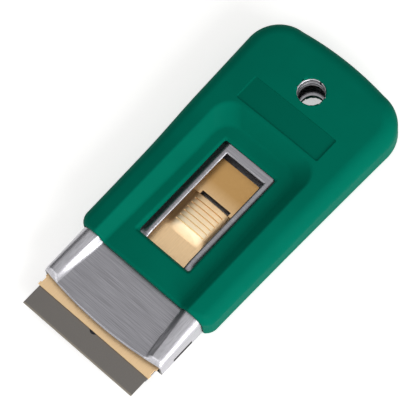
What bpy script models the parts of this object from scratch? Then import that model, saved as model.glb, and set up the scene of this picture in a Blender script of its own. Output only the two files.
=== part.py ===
"""A pocket safety scraper: a razor blade in a sliding holder, inside a flat steel
housing that carries a moulded grip sleeve.

Units are metres and +Z is up. The scraper lies on its back with the blade's edge
at the -Y end, and the origin is under its middle, on the surface it rests on.
Places along Y are distances behind the blade's edge, and at() turns them into Y.
"""

import math

import bmesh
import bpy
from mathutils import Vector

# Clearances, and the overrun of every cutter
SEAT_GAP = 0.0003
SHEET_GAP = 0.00015
SIDE_PLAY = 0.00025
OVERRUN = 0.0020
WELD_DISTANCE = 0.00001

# Blade, a standard single-edge one
BLADE_WIDTH = 0.0381
BLADE_DEPTH = 0.0182
BLADE_SHEET = 0.00025
BLADE_EDGE_SHEET = 0.00003
BLADE_BEVEL = 0.0008
BLADE_HOLE_SETBACK = 0.0067
BLADE_HOLE_RADIUS = 0.0012

# How far each piece stands ahead of the next one
BLADE_REACH = 0.0062
HOLDER_REACH = 0.0037
HOUSING_REACH = 0.0150
SLEEVE_LENGTH = 0.0790

# Housing: one folded steel shell with a sunk panel between two side beads
SHELL_SHEET = 0.00065
PANEL_HEIGHT = 0.0062
PANEL_REAR_MARGIN = 0.0009
PANEL_RAMP = 0.0024
LIP_BOW = 0.0018
LIP_BOW_FADE = 0.0080
BEAD_HEIGHT = 0.0024
BEAD_FRONT_WIDTH = 0.00535
BEAD_REAR_WIDTH = 0.0070
BEAD_WALL_WIDTH = 0.0022
BEAD_RUNOUT = 0.0165
BEAD_START = 0.0015
BEAD_START_SHARE = 0.3
SHOULDER_RADIUS = 0.0030
LIP_SHOULDER_RADIUS = 0.0012
FOLD_RADIUS = 0.0010
TURNED_LIP_WIDTH = 0.0040
SIDE_SLOT_SETBACK = 0.0045
SIDE_SLOT_LENGTH = 0.0068
SIDE_SLOT_HEIGHT = 0.0006
SIDE_SLOT_LIFT = 0.0016

# Window in the housing's top, round the thumb rest's travel
WINDOW_FRONT_MARGIN = 0.0016
WINDOW_REAR_MARGIN = 0.0017
WINDOW_SIDE_MARGIN = 0.0009

# Lock slots beside the window, and the travel between them
LOCK_SPREAD = 0.0188
LOCK_EAR_WIDTH = 0.0010
LOCK_EAR_LENGTH = 0.0013
LOCK_EAR_MARGIN = 0.0004
LOCK_SETBACK = 0.0037
BLADE_COVER = 0.0006
CHANGE_TRAVEL = 0.0055

# Grip sleeve round the housing
SLEEVE_BACK_WALL = 0.0013
SLEEVE_SIDE_WALL = 0.0022
SLEEVE_TOP_WALL = 0.0020
SLEEVE_REAR_WALL = 0.0061
SLEEVE_FLARE = 0.0034
SLEEVE_FLARE_CURVE_SHARE = 1.4
SLEEVE_RISE = 0.0009
SLEEVE_CORNER_RADIUS = 0.0094
SLEEVE_FRONT_RADIUS = 0.0033
SLEEVE_REAR_BOW = 0.0010
SLEEVE_TOP_EDGE_RADIUS = 0.0045
SLEEVE_BACK_EDGE_RADIUS = 0.0030

# Cut-out in the sleeve over the window, and the trough that it lies in
CUTOUT_FRONT_MARGIN = 0.0004
CUTOUT_REAR_MARGIN = 0.0023
CUTOUT_SIDE_MARGIN = 0.0018
CUTOUT_CORNER_RADIUS = 0.0012
TROUGH_REAR_MARGIN = 0.0048
TROUGH_SIDE_MARGIN = 0.0004
TROUGH_TAPER = 0.0018
TROUGH_FRONT_WALL = 0.0021
TROUGH_REAR_WALL = 0.0013
TROUGH_CORNER_RADIUS = 0.0055
TROUGH_SIDE_LEAN_SHARE = 1.0
TROUGH_REAR_LEAN_SHARE = 1.15

# Bare label recess and hanging hole, placed from the sleeve's rear end
LABEL_WIDTH = 0.0280
LABEL_LENGTH = 0.0075
LABEL_DEPTH = 0.00035
LABEL_CORNER_RADIUS = 0.0004
LABEL_FROM_REAR = 0.0198
HOLE_FROM_REAR = 0.0137
HOLE_RADIUS = 0.0039
BACK_HOLE_RADIUS = 0.0037
FLANGE_WALL = 0.0005
SHELL_FLANGE_DEPTH = 0.0027
BACK_FLANGE_HEIGHT = 0.0021
COLLAR_HEIGHT = 0.0019
COLLAR_SPLIT = 0.0005

# Back plate, which lies on the shell's turned lips
BACK_SHEET = 0.0005
BACK_PLATE_SETBACK = 0.0006

# Blade holder, the upper jaw
HOLDER_SHEET = 0.0005
HOLDER_HEADROOM = 0.00135
HOLDER_SIDE_MARGIN = 0.00045
HOLDER_JAW_MARGIN = 0.0022
HOLDER_JOGGLE = 0.0016
HOLDER_TAIL_LENGTH = 0.0060
HOLDER_TAIL_WIDTH = 0.0190
HOLDER_NOTCH_SETBACK = 0.0010
HOLDER_NOTCH_LENGTH = 0.0018
HOLDER_NOTCH_DEPTH = 0.0004

# Blade clamp, the lower jaw
CLAMP_SHEET = 0.0005
CLAMP_FRONT_MARGIN = 0.0013
CLAMP_REAR_MARGIN = 0.0018
BOSS_RADIUS = 0.00075
BOSS_REAR_MARGIN = 0.000075

# Thumb plate with its ribbed rest
THUMB_SHEET = 0.0005
THUMB_HINGE_MARGIN = 0.0015
THUMB_REAR_MARGIN = 0.0064
REST_SETBACK = 0.0133
REST_RAMP = 0.0027
REST_HEIGHT = 0.0015
REST_TOP_WIDTH = 0.0084
REST_FOOT_WIDTH = 0.0114
REST_ROLL = 0.00045
REST_ACROSS_SHARES = (0, 0.2, 0.4, 0.55, 0.68, 0.8, 0.9, 1)
REST_RAMP_SHARES = ((0, 0), (0.2, 0.1), (0.4, 0.3), (0.6, 0.55), (0.8, 0.78))
REST_ROLL_SHARES = ((0, 0.95), (0.35, 0.8), (0.7, 0.4), (1, 0))
RIB_PITCH = 0.00145
RIB_DEPTH = 0.00022
RIB_COUNT = 6
SLIT_LENGTH = 0.0011
SLIT_WIDTH = 0.0094

# Leaf spring under the thumb plate
SPRING_SHEET = 0.00025
SPRING_WIDTH = 0.0060
SPRING_SEAT_LENGTH = 0.0020
SPRING_END_MARGIN = 0.0013
SPRING_BOW_SHARE = 0.55

# Rivets
RIVET_RADIUS = 0.0008
RIVET_HEAD_RADIUS = 0.0013
RIVET_HEAD_HEIGHT = 0.0004
CLAMP_RIVET_SPREAD = 0.0180
PLATE_RIVET_SPREAD = 0.0120

# Counts of facets
ARC_STEPS = 6
HOLE_SIDES = 32
RIVET_SIDES = 16
SMOOTH_ANGLE = math.radians(35)
HANDS = ((-1, "left"), (1, "right"))

# Places along Y, worked out from the sizes above
HOUSING_FRONT = BLADE_REACH + HOLDER_REACH
SLEEVE_FRONT = HOUSING_FRONT + HOUSING_REACH
OVERALL_LENGTH = SLEEVE_FRONT + SLEEVE_LENGTH
HOUSING_REAR = OVERALL_LENGTH - SLEEVE_REAR_WALL - SEAT_GAP
FLARE_END = OVERALL_LENGTH - SLEEVE_REAR_BOW - SLEEVE_CORNER_RADIUS
HOLE_PLACE = OVERALL_LENGTH - HOLE_FROM_REAR
BOSS_PLACE = BLADE_HOLE_SETBACK + BLADE_HOLE_RADIUS - BOSS_RADIUS - BOSS_REAR_MARGIN
CLAMP_RIVET_PLACE = BLADE_DEPTH + SEAT_GAP + RIVET_RADIUS
JAW_REAR = CLAMP_RIVET_PLACE + RIVET_RADIUS + HOLDER_JAW_MARGIN
TAIL_FRONT = JAW_REAR + HOLDER_JOGGLE
TAIL_REAR = TAIL_FRONT + HOLDER_TAIL_LENGTH
THUMB_HINGE_PLACE = TAIL_REAR - THUMB_HINGE_MARGIN
THUMB_FRONT = THUMB_HINGE_PLACE - THUMB_HINGE_MARGIN
REST_FRONT = THUMB_FRONT + REST_SETBACK
RIB_START = REST_FRONT + REST_RAMP
REST_REAR = RIB_START + RIB_COUNT * RIB_PITCH
SLIT_FRONT = REST_REAR + REST_ROLL
SLIT_REAR = SLIT_FRONT + SLIT_LENGTH
LOCK_PLACE = SLIT_REAR + LOCK_SETBACK
THUMB_REAR = LOCK_PLACE + THUMB_REAR_MARGIN
SPRING_RIVET_PLACE = (TAIL_FRONT + THUMB_FRONT) / 2
RETRACT_TRAVEL = HOUSING_FRONT + BLADE_COVER
WINDOW_FRONT = REST_FRONT - CHANGE_TRAVEL - WINDOW_FRONT_MARGIN
WINDOW_REAR = SLIT_FRONT + RETRACT_TRAVEL + WINDOW_REAR_MARGIN
CUTOUT_FRONT = WINDOW_FRONT + CUTOUT_FRONT_MARGIN
CUTOUT_REAR = WINDOW_REAR + CUTOUT_REAR_MARGIN
TROUGH_REAR = CUTOUT_REAR + TROUGH_REAR_MARGIN
PANEL_REAR = TROUGH_REAR + PANEL_REAR_MARGIN

# Half widths
HOLDER_SIDE = BLADE_WIDTH / 2 + HOLDER_SIDE_MARGIN
HOUSING_SIDE = HOLDER_SIDE + SIDE_PLAY + SHELL_SHEET
SLEEVE_FRONT_SIDE = HOUSING_SIDE + SLEEVE_SIDE_WALL
WINDOW_SIDE = REST_FOOT_WIDTH / 2 + WINDOW_SIDE_MARGIN
CUTOUT_SIDE = WINDOW_SIDE + CUTOUT_SIDE_MARGIN
THUMB_PLATE_SIDE = (LOCK_SPREAD + LOCK_EAR_WIDTH) / 2 + LOCK_EAR_MARGIN

# Heights
HOUSING_BASE = SLEEVE_BACK_WALL + SEAT_GAP
PANEL_TOP = HOUSING_BASE + PANEL_HEIGHT
PANEL_UNDERSIDE = PANEL_TOP - SHELL_SHEET
CREST_TOP = PANEL_TOP + BEAD_HEIGHT
BACK_PLATE_LOW = HOUSING_BASE + SHELL_SHEET + SHEET_GAP
BACK_PLATE_TOP = BACK_PLATE_LOW + BACK_SHEET
HOLDER_TOP = PANEL_UNDERSIDE - HOLDER_HEADROOM
HOLDER_LOW = HOLDER_TOP - HOLDER_SHEET
BLADE_TOP = HOLDER_LOW - SHEET_GAP / 2
BLADE_LOW = BLADE_TOP - BLADE_SHEET
CLAMP_TOP = BLADE_LOW - SHEET_GAP / 2
CLAMP_LOW = CLAMP_TOP - CLAMP_SHEET
THUMB_LOW = HOLDER_TOP - THUMB_SHEET
TAIL_TOP = THUMB_LOW - SHEET_GAP
TAIL_LOW = TAIL_TOP - HOLDER_SHEET
SLEEVE_FRONT_TOP = CREST_TOP + SLEEVE_TOP_WALL
SLEEVE_REAR_TOP = SLEEVE_FRONT_TOP + SLEEVE_RISE
TROUGH_FRONT_FLOOR = PANEL_TOP + TROUGH_FRONT_WALL
TROUGH_REAR_FLOOR = PANEL_TOP + TROUGH_REAR_WALL
COLLAR_LOW = CREST_TOP + SHEET_GAP
COLLAR_TOP = COLLAR_LOW + COLLAR_HEIGHT


def at(distance):
    """Y of a place that lies this far behind the blade's edge."""
    return distance - OVERALL_LENGTH / 2


def between(low, high, share):
    """The value at this share of the way from low to high, kept between the two."""
    return low + (high - low) * min(max(share, 0), 1)


def eased(share):
    """A share of the way that sets off and arrives level."""
    share = min(max(share, 0), 1)
    return share * share * (3 - 2 * share)


def arc(centre, radius, start, turn, steps=ARC_STEPS):
    """Points of an arc, with its start and its turn in degrees."""
    angles = [math.radians(start + turn * i / steps) for i in range(steps + 1)]
    return [(centre[0] + radius * math.cos(a), centre[1] + radius * math.sin(a)) for a in angles]


# Scene, carriers and materials


def clear_scene():
    """Removes what the file opened with."""
    for thing in list(bpy.data.objects):
        bpy.data.objects.remove(thing, do_unlink=True)


def new_collection(name):
    """A collection in the scene."""
    collection = bpy.data.collections.new(name)
    bpy.context.scene.collection.children.link(collection)
    return collection


def new_material(name, colour, roughness, metallic):
    """A plain Principled finish."""
    material = bpy.data.materials.new(name)
    material.use_nodes = True
    shader = material.node_tree.nodes["Principled BSDF"]
    shader.inputs["Base Color"].default_value = (*colour, 1)
    shader.inputs["Roughness"].default_value = roughness
    shader.inputs["Metallic"].default_value = metallic
    material.diffuse_color = (*colour, 1)
    return material


def new_carrier(name, distance, height, parent=None):
    """An empty on a joint's axis, which carries the pieces that move with the joint."""
    carrier = bpy.data.objects.new(name, None)
    PARTS.objects.link(carrier)
    carrier.location = (0, at(distance), height)
    if parent:
        carrier.parent = parent
        carrier.location -= parent.location
    return carrier


clear_scene()
PARTS = new_collection("safety_scraper")
CUTTERS = new_collection("cutters")
GREEN = new_material("green_plastic", (0.0, 0.14, 0.09), 0.45, 0.0)
NICKEL = new_material("nickel_plate", (0.62, 0.62, 0.64), 0.25, 1.0)
BRASS = new_material("brass_plate", (0.76, 0.56, 0.28), 0.3, 1.0)
CARBON = new_material("carbon_steel", (0.19, 0.18, 0.17), 0.35, 1.0)
SPRING = new_material("spring_steel", (0.35, 0.35, 0.37), 0.3, 1.0)
SLIDER = new_carrier("slider", JAW_REAR, HOLDER_LOW)
THUMB_HINGE = new_carrier("thumb_hinge", THUMB_HINGE_PLACE, (THUMB_LOW + HOLDER_TOP) / 2, SLIDER)
CLAMP_HINGE = new_carrier("clamp_hinge", CLAMP_RIVET_PLACE, (CLAMP_LOW + CLAMP_TOP) / 2, SLIDER)


def carry(thing, carrier):
    """Hangs a piece on its carrier and leaves it where it is."""
    place = carrier.location + (carrier.parent.location if carrier.parent else Vector())
    thing.parent = carrier
    thing.location -= place


def mesh_object(name, shape, material=None):
    """Turns a bmesh into a piece, or into a cutter where it has no material."""
    mesh = bpy.data.meshes.new(name)
    shape.to_mesh(mesh)
    shape.free()
    thing = bpy.data.objects.new(name, mesh)
    if material:
        PARTS.objects.link(thing)
        mesh.materials.append(material)
        mesh.shade_smooth()
        mesh.set_sharp_from_angle(angle=SMOOTH_ANGLE)
    else:
        CUTTERS.objects.link(thing)
        thing.hide_render = True
        thing.display_type = "WIRE"
    return thing


# Shapes


def block(x_low, x_high, front, rear, low, high, corner_radius=0):
    """An upright box between two places along Y, with round corners if they are asked for."""
    shape = bmesh.new()
    bmesh.ops.create_cube(shape, size=1)
    for corner in shape.verts:
        corner.co.x = x_high if corner.co.x > 0 else x_low
        corner.co.y = at(rear) if corner.co.y > 0 else at(front)
        corner.co.z = high if corner.co.z > 0 else low
    if corner_radius:
        upright = [edge for edge in shape.edges if edge.verts[0].co.xy == edge.verts[1].co.xy]
        bmesh.ops.bevel(
            shape, geom=upright, offset=corner_radius, segments=ARC_STEPS, profile=0.5, affect="EDGES"
        )
    return shape


def drum(radius, x, place, low, high, sides=HOLE_SIDES):
    """An upright cylinder."""
    shape = bmesh.new()
    bmesh.ops.create_cone(
        shape, cap_ends=True, segments=sides, radius1=radius, radius2=radius, depth=high - low
    )
    bmesh.ops.translate(shape, verts=shape.verts, vec=(x, at(place), (low + high) / 2))
    return shape


def loft(rings):
    """A closed body through rings with the same number of points, capped at both ends."""
    shape = bmesh.new()
    loops = [[shape.verts.new(point) for point in ring] for ring in rings]
    for low, high in zip(loops, loops[1:]):
        for i in range(len(low)):
            shape.faces.new((low[i - 1], low[i], high[i], high[i - 1]))
    shape.faces.new(loops[0])
    shape.faces.new(loops[-1])
    bmesh.ops.recalc_face_normals(shape, faces=shape.faces)
    return shape


def mirrored_sheet(name, rows, sheet, material):
    """A bent sheet from rows of points on its outer face, from the middle to the right.

    Its right half is mirrored, and the thickness is added on the inner side.
    """
    shape = bmesh.new()
    lines = [[shape.verts.new(point) for point in row] for row in rows]
    for near, far in zip(lines, lines[1:]):
        for i in range(len(near) - 1):
            shape.faces.new((near[i], near[i + 1], far[i + 1], far[i]))
    thing = mesh_object(name, shape, material)
    mirror = thing.modifiers.new("mirrored", "MIRROR")
    mirror.merge_threshold = WELD_DISTANCE
    solidify = thing.modifiers.new("sheet", "SOLIDIFY")
    solidify.thickness = sheet
    solidify.offset = -1
    solidify.use_even_offset = True
    return thing


def combine(thing, name, shape, operation="DIFFERENCE"):
    """Cuts a shape out of a piece, or joins it to the piece."""
    tool = mesh_object(name, shape)
    boolean = thing.modifiers.new(name, "BOOLEAN")
    boolean.operation = operation
    boolean.solver = "EXACT"
    boolean.object = tool
    return tool


# Housing section, shared by the shell and by the sleeve's cavity


def bead_rise(behind):
    """Height of the side beads this far behind the housing's front corners."""
    start = BEAD_HEIGHT * BEAD_START_SHARE * eased(behind / BEAD_START)
    climb = BEAD_HEIGHT * (1 - BEAD_START_SHARE) * between(0, 1, behind / BEAD_RUNOUT)
    return start + climb


def half_section(behind, grow=0):
    """The housing's outer face, from the middle of its top down to its fold, grown by a gap."""
    rise = bead_rise(behind)
    crest = PANEL_TOP + rise + grow
    panel = crest - rise * (1 - eased((HOUSING_FRONT + behind - PANEL_REAR) / PANEL_RAMP))
    side = HOUSING_SIDE + grow
    foot = side - 2 * grow - between(BEAD_FRONT_WIDTH, BEAD_REAR_WIDTH, behind / BEAD_RUNOUT)
    shoulder = between(LIP_SHOULDER_RADIUS, SHOULDER_RADIUS, rise / BEAD_HEIGHT)
    points = [(foot * i / 3, panel) for i in range(3)]
    for i in range(ARC_STEPS + 1):
        share = i / ARC_STEPS
        points.append((foot + BEAD_WALL_WIDTH * share, between(panel, crest, eased(share))))
    points += arc((side - shoulder, crest - shoulder), shoulder, 90, -90)
    fold = (side - FOLD_RADIUS, HOUSING_BASE - grow + FOLD_RADIUS)
    return points + arc(fold, FOLD_RADIUS, 0, -90, ARC_STEPS // 2)


def lip_bow(x, height, behind):
    """How far the top's front lip bows out ahead of its corners, fading out behind the edge."""
    if height < PANEL_TOP - LIP_SHOULDER_RADIUS:
        return 0
    share = max(1 - (x / HOUSING_SIDE) ** 2, 0)
    return LIP_BOW * share * between(1, 0, behind / LIP_BOW_FADE)


def panel_ramp():
    """Distances behind the housing's front over which the panel ramps up to the rear."""
    return [PANEL_REAR - HOUSING_FRONT + PANEL_RAMP * i / 4 for i in range(5)]


def shell_row(behind):
    """The right half of the shell's outer face at one station, down to its turned lip."""
    half = half_section(behind) + [(HOUSING_SIDE - TURNED_LIP_WIDTH, HOUSING_BASE)]
    place = at(HOUSING_FRONT + behind)
    return [Vector((x, place - lip_bow(x, z, behind), z)) for x, z in half]


def upper_shell():
    """The stamped shell: sunk panel, side beads, window, and lips turned in below."""
    length = HOUSING_REAR - HOUSING_FRONT
    near = [BEAD_START * i / 3 for i in range(4)] + [BEAD_START * 2]
    stations = near + [LIP_BOW_FADE / 2, LIP_BOW_FADE, BEAD_RUNOUT] + panel_ramp() + [length]
    rows = [shell_row(behind) for behind in sorted(set(stations))]
    shell = mirrored_sheet("upper_shell", rows, SHELL_SHEET, NICKEL)
    low = PANEL_UNDERSIDE - OVERRUN
    high = PANEL_TOP + OVERRUN
    window = block(-WINDOW_SIDE, WINDOW_SIDE, WINDOW_FRONT, WINDOW_REAR, low, high)
    combine(shell, "window_cutter", window)
    lock_slots(shell)
    side_slots(shell)
    shell_hole(shell)
    return shell


def lock_slots(shell):
    """Slots for the lock ears: at work, with the blade drawn in, and for blade change."""
    width = LOCK_EAR_WIDTH + 2 * SEAT_GAP
    length = LOCK_EAR_LENGTH + 2 * SEAT_GAP
    low = PANEL_UNDERSIDE - OVERRUN
    for travel, state in ((0, "work"), (RETRACT_TRAVEL, "safe"), (-CHANGE_TRAVEL, "change")):
        front = LOCK_PLACE + travel - length / 2
        for side, hand in HANDS:
            left = side * LOCK_SPREAD / 2 - width / 2
            slot = block(left, left + width, front, front + length, low, PANEL_TOP + OVERRUN)
            combine(shell, "lock_slot_" + state + "_" + hand, slot)


def side_slots(shell):
    """The long low slot in each side wall, near the mouth."""
    front = HOUSING_FRONT + SIDE_SLOT_SETBACK
    low = HOUSING_BASE + SIDE_SLOT_LIFT
    reach = HOUSING_SIDE + OVERRUN
    slot = block(-reach, reach, front, front + SIDE_SLOT_LENGTH, low, low + SIDE_SLOT_HEIGHT)
    combine(shell, "side_slot_cutter", slot)


def shell_hole(shell):
    """The hanging hole in the shell's top, with its wall drawn down into the housing."""
    middle = HOLE_RADIUS + FLANGE_WALL / 2
    bore = drum(middle, 0, HOLE_PLACE, PANEL_UNDERSIDE, CREST_TOP + OVERRUN)
    combine(shell, "shell_hole_cutter", bore)
    high = CREST_TOP - SHELL_SHEET / 3
    hole_flange(shell, "shell_flange", HOLE_RADIUS, high - SHELL_FLANGE_DEPTH, high)


def hole_flange(thing, name, bore_radius, low, high):
    """Joins a round wall to a piece, with the hanging hole open through it."""
    wall = drum(bore_radius + FLANGE_WALL, 0, HOLE_PLACE, low, high)
    ring = combine(thing, name, wall, "UNION")
    bore = drum(bore_radius, 0, HOLE_PLACE, low - OVERRUN, high + OVERRUN)
    combine(ring, name + "_bore", bore)


def back_plate():
    """The flat plate that closes the housing, lying on the shell's turned lips."""
    side = HOUSING_SIDE - SHELL_SHEET - SIDE_PLAY
    front = HOUSING_FRONT + BACK_PLATE_SETBACK
    rear = HOUSING_REAR - BACK_PLATE_SETBACK
    shape = block(-side, side, front, rear, BACK_PLATE_LOW, BACK_PLATE_TOP)
    plate = mesh_object("back_plate", shape, NICKEL)
    middle = BACK_HOLE_RADIUS + FLANGE_WALL / 2
    bore = drum(middle, 0, HOLE_PLACE, BACK_PLATE_LOW - OVERRUN, BACK_PLATE_TOP + OVERRUN)
    combine(plate, "back_hole_cutter", bore)
    low = BACK_PLATE_LOW + BACK_SHEET / 3
    hole_flange(plate, "back_flange", BACK_HOLE_RADIUS, low, low + BACK_FLANGE_HEIGHT)
    return plate


# Grip sleeve


def sleeve_side(distance):
    """Half the sleeve's width at a distance behind the blade's edge: it flares to the rear."""
    share = between(0, 1, (distance - SLEEVE_FRONT) / (FLARE_END - SLEEVE_FRONT))
    return SLEEVE_FRONT_SIDE + SLEEVE_FLARE / 2 * share ** SLEEVE_FLARE_CURVE_SHARE


def sleeve_outline(inset):
    """The sleeve's outline seen from above, drawn in by the inset except at its open front."""
    round_end = SLEEVE_FRONT + SLEEVE_FRONT_RADIUS
    corner = (SLEEVE_FRONT_SIDE - inset - SLEEVE_FRONT_RADIUS, round_end)
    half = arc(corner, SLEEVE_FRONT_RADIUS, -90, 90, 4)
    places = [between(round_end, FLARE_END, i / 8) for i in range(1, 8)]
    half += [(sleeve_side(place) - inset, place) for place in places]
    centre = sleeve_side(FLARE_END) - SLEEVE_CORNER_RADIUS
    half += arc((centre, FLARE_END), SLEEVE_CORNER_RADIUS - inset, 0, 90, 8)
    for i in range(1, 5):
        share = 1 - i / 4
        half.append((centre * share, OVERALL_LENGTH - inset - SLEEVE_REAR_BOW * share * share))
    return half + [(-x, place) for x, place in reversed(half[:-1])]


def sleeve_top(place):
    """Height of the sleeve's top, which rises to the rear."""
    return between(SLEEVE_FRONT_TOP, SLEEVE_REAR_TOP, (place - SLEEVE_FRONT) / SLEEVE_LENGTH)


def sleeve_body():
    """The sleeve's outer form, with its long edges and its rear rounded."""
    rings = []
    for inset, height in arc((SLEEVE_BACK_EDGE_RADIUS, SLEEVE_BACK_EDGE_RADIUS),
                             SLEEVE_BACK_EDGE_RADIUS, 270, -90):
        rings.append([Vector((x, at(place), height)) for x, place in sleeve_outline(inset)])
    radius = SLEEVE_TOP_EDGE_RADIUS
    for inset, lift in arc((radius, -radius), radius, 180, -90):
        outline = sleeve_outline(inset)
        rings.append([Vector((x, at(place), sleeve_top(place) + lift)) for x, place in outline])
    return loft(rings)


def housing_cavity():
    """The room for the housing inside the sleeve, open at the sleeve's front."""
    rings = []
    rear = HOUSING_REAR - HOUSING_FRONT + SEAT_GAP
    for behind in sorted({HOUSING_REACH - OVERRUN, BEAD_RUNOUT, rear, *panel_ramp()}):
        half = half_section(behind, SEAT_GAP)
        ring = half + [(-x, z) for x, z in reversed(half[1:])]
        rings.append([Vector((x, at(HOUSING_FRONT + behind), z)) for x, z in ring])
    return loft(rings)


def trough_floor(place):
    """Height of the trough's floor, which falls to the rear."""
    share = (place - SLEEVE_FRONT) / (TROUGH_REAR - SLEEVE_FRONT)
    return TROUGH_FRONT_FLOOR + (TROUGH_REAR_FLOOR - TROUGH_FRONT_FLOOR) * share


def trough_ring(climb):
    """The trough's outline this far above its floor: its sides and its rear lean outwards."""
    spread = HOUSING_SIDE - BEAD_REAR_WIDTH + TROUGH_SIDE_MARGIN + climb * TROUGH_SIDE_LEAN_SHARE
    narrow = spread - TROUGH_TAPER / 2
    lean = climb * TROUGH_REAR_LEAN_SHARE
    corner = (narrow - TROUGH_CORNER_RADIUS, TROUGH_REAR - TROUGH_CORNER_RADIUS)
    half = [(spread, SLEEVE_FRONT - OVERRUN)] + arc(corner, TROUGH_CORNER_RADIUS, 0, 90)
    ring = half + [(-x, place) for x, place in reversed(half)]
    front = SLEEVE_FRONT
    return [
        Vector((x, at(place + (lean if place > front else 0)), trough_floor(place) + climb))
        for x, place in ring
    ]


def grip_sleeve():
    """The moulded sleeve: trough, window cut-out, bare label recess and hanging hole."""
    sleeve = mesh_object("grip_sleeve", sleeve_body(), GREEN)
    climb = SLEEVE_REAR_TOP - TROUGH_REAR_FLOOR + OVERRUN
    combine(sleeve, "trough_cutter", loft([trough_ring(0), trough_ring(climb)]))
    combine(sleeve, "cavity_cutter", housing_cavity())
    cutout = block(-CUTOUT_SIDE, CUTOUT_SIDE, CUTOUT_FRONT, CUTOUT_REAR, PANEL_TOP, SLEEVE_REAR_TOP,
                   CUTOUT_CORNER_RADIUS)
    combine(sleeve, "cutout_cutter", cutout)
    rear = OVERALL_LENGTH - LABEL_FROM_REAR
    floor = sleeve_top(rear) - LABEL_DEPTH
    label = block(-LABEL_WIDTH / 2, LABEL_WIDTH / 2, rear - LABEL_LENGTH, rear, floor,
                  SLEEVE_REAR_TOP + OVERRUN, LABEL_CORNER_RADIUS)
    combine(sleeve, "label_cutter", label)
    sleeve_hole(sleeve)
    return sleeve


def sleeve_hole(sleeve):
    """The hanging hole through the sleeve, with the collar's seat under its top."""
    top_bore = drum(HOLE_RADIUS, 0, HOLE_PLACE, CREST_TOP, SLEEVE_REAR_TOP + OVERRUN)
    combine(sleeve, "sleeve_hole_cutter", top_bore)
    seat = drum(HOLE_RADIUS + FLANGE_WALL + SEAT_GAP, 0, HOLE_PLACE, CREST_TOP, COLLAR_TOP + SHEET_GAP)
    combine(sleeve, "collar_seat_cutter", seat)
    back_bore = drum(BACK_HOLE_RADIUS, 0, HOLE_PLACE, -OVERRUN, HOUSING_BASE)
    combine(sleeve, "sleeve_back_hole_cutter", back_bore)


def hole_collar():
    """The split steel collar that lines the sleeve's hanging hole."""
    shape = drum(HOLE_RADIUS + FLANGE_WALL, 0, HOLE_PLACE, COLLAR_LOW, COLLAR_TOP)
    collar = mesh_object("hole_collar", shape, NICKEL)
    low = COLLAR_LOW - OVERRUN
    high = COLLAR_TOP + OVERRUN
    combine(collar, "collar_bore_cutter", drum(HOLE_RADIUS, 0, HOLE_PLACE, low, high))
    half = COLLAR_SPLIT / 2
    split = block(-half, half, HOLE_PLACE, HOLE_PLACE + HOLE_RADIUS + OVERRUN, low, high)
    combine(collar, "collar_split_cutter", split)
    return collar


# Blade, holder and clamp


def razor_blade():
    """The blade: a plain box whose front is squeezed to a ground edge."""
    side = BLADE_WIDTH / 2
    shape = block(-side, side, 0, BLADE_DEPTH, BLADE_LOW, BLADE_TOP)
    bevel = at(BLADE_BEVEL)
    everything = shape.verts[:] + shape.edges[:] + shape.faces[:]
    bmesh.ops.bisect_plane(shape, geom=everything, plane_co=(0, bevel, 0), plane_no=(0, 1, 0))
    middle = (BLADE_LOW + BLADE_TOP) / 2
    for corner in shape.verts:
        if corner.co.y < (at(0) + bevel) / 2:
            corner.co.z = middle + math.copysign(BLADE_EDGE_SHEET / 2, corner.co.z - middle)
    blade = mesh_object("razor_blade", shape, CARBON)
    hole = drum(BLADE_HOLE_RADIUS, 0, BLADE_HOLE_SETBACK, BLADE_LOW - OVERRUN, BLADE_TOP + OVERRUN)
    combine(blade, "blade_hole_cutter", hole)
    carry(blade, SLIDER)
    return blade


def rivet_bores(thing, places, low, high):
    """Bores clearance holes for rivets."""
    radius = RIVET_RADIUS + SHEET_GAP
    for i, (x, place) in enumerate(places):
        bore = drum(radius, x, place, low - OVERRUN, high + OVERRUN, RIVET_SIDES)
        combine(thing, thing.name + "_rivet_bore_" + str(i), bore)


def rivet_pair(spread, place):
    """Places of a left and a right rivet."""
    return [(side * spread / 2, place) for side, _ in HANDS]


def blade_holder():
    """The holder: a wide upper jaw, a joggle down and a narrow tail."""
    tail = HOLDER_TAIL_WIDTH / 2
    corners = (
        (BLADE_REACH, HOLDER_TOP, HOLDER_SIDE),
        (JAW_REAR - HOLDER_JOGGLE, HOLDER_TOP, HOLDER_SIDE),
        (JAW_REAR, HOLDER_TOP, tail),
        (TAIL_FRONT, TAIL_TOP, tail),
        (TAIL_REAR, TAIL_TOP, tail),
    )
    rows = [[Vector((side * i / 3, at(place), top)) for i in range(4)] for place, top, side in corners]
    holder = mirrored_sheet("blade_holder", rows, HOLDER_SHEET, BRASS)
    front = BLADE_REACH + HOLDER_NOTCH_SETBACK
    for side, hand in HANDS:
        inner = side * (HOLDER_SIDE - HOLDER_NOTCH_DEPTH)
        outer = side * (HOLDER_SIDE + OVERRUN)
        notch = block(min(inner, outer), max(inner, outer), front, front + HOLDER_NOTCH_LENGTH,
                      HOLDER_LOW - OVERRUN, HOLDER_TOP + OVERRUN)
        combine(holder, "holder_notch_" + hand, notch)
    places = rivet_pair(CLAMP_RIVET_SPREAD, CLAMP_RIVET_PLACE)
    places += rivet_pair(PLATE_RIVET_SPREAD, THUMB_HINGE_PLACE)
    rivet_bores(holder, places + [(0, SPRING_RIVET_PLACE)], TAIL_LOW, HOLDER_TOP)
    carry(holder, SLIDER)
    return holder


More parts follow.
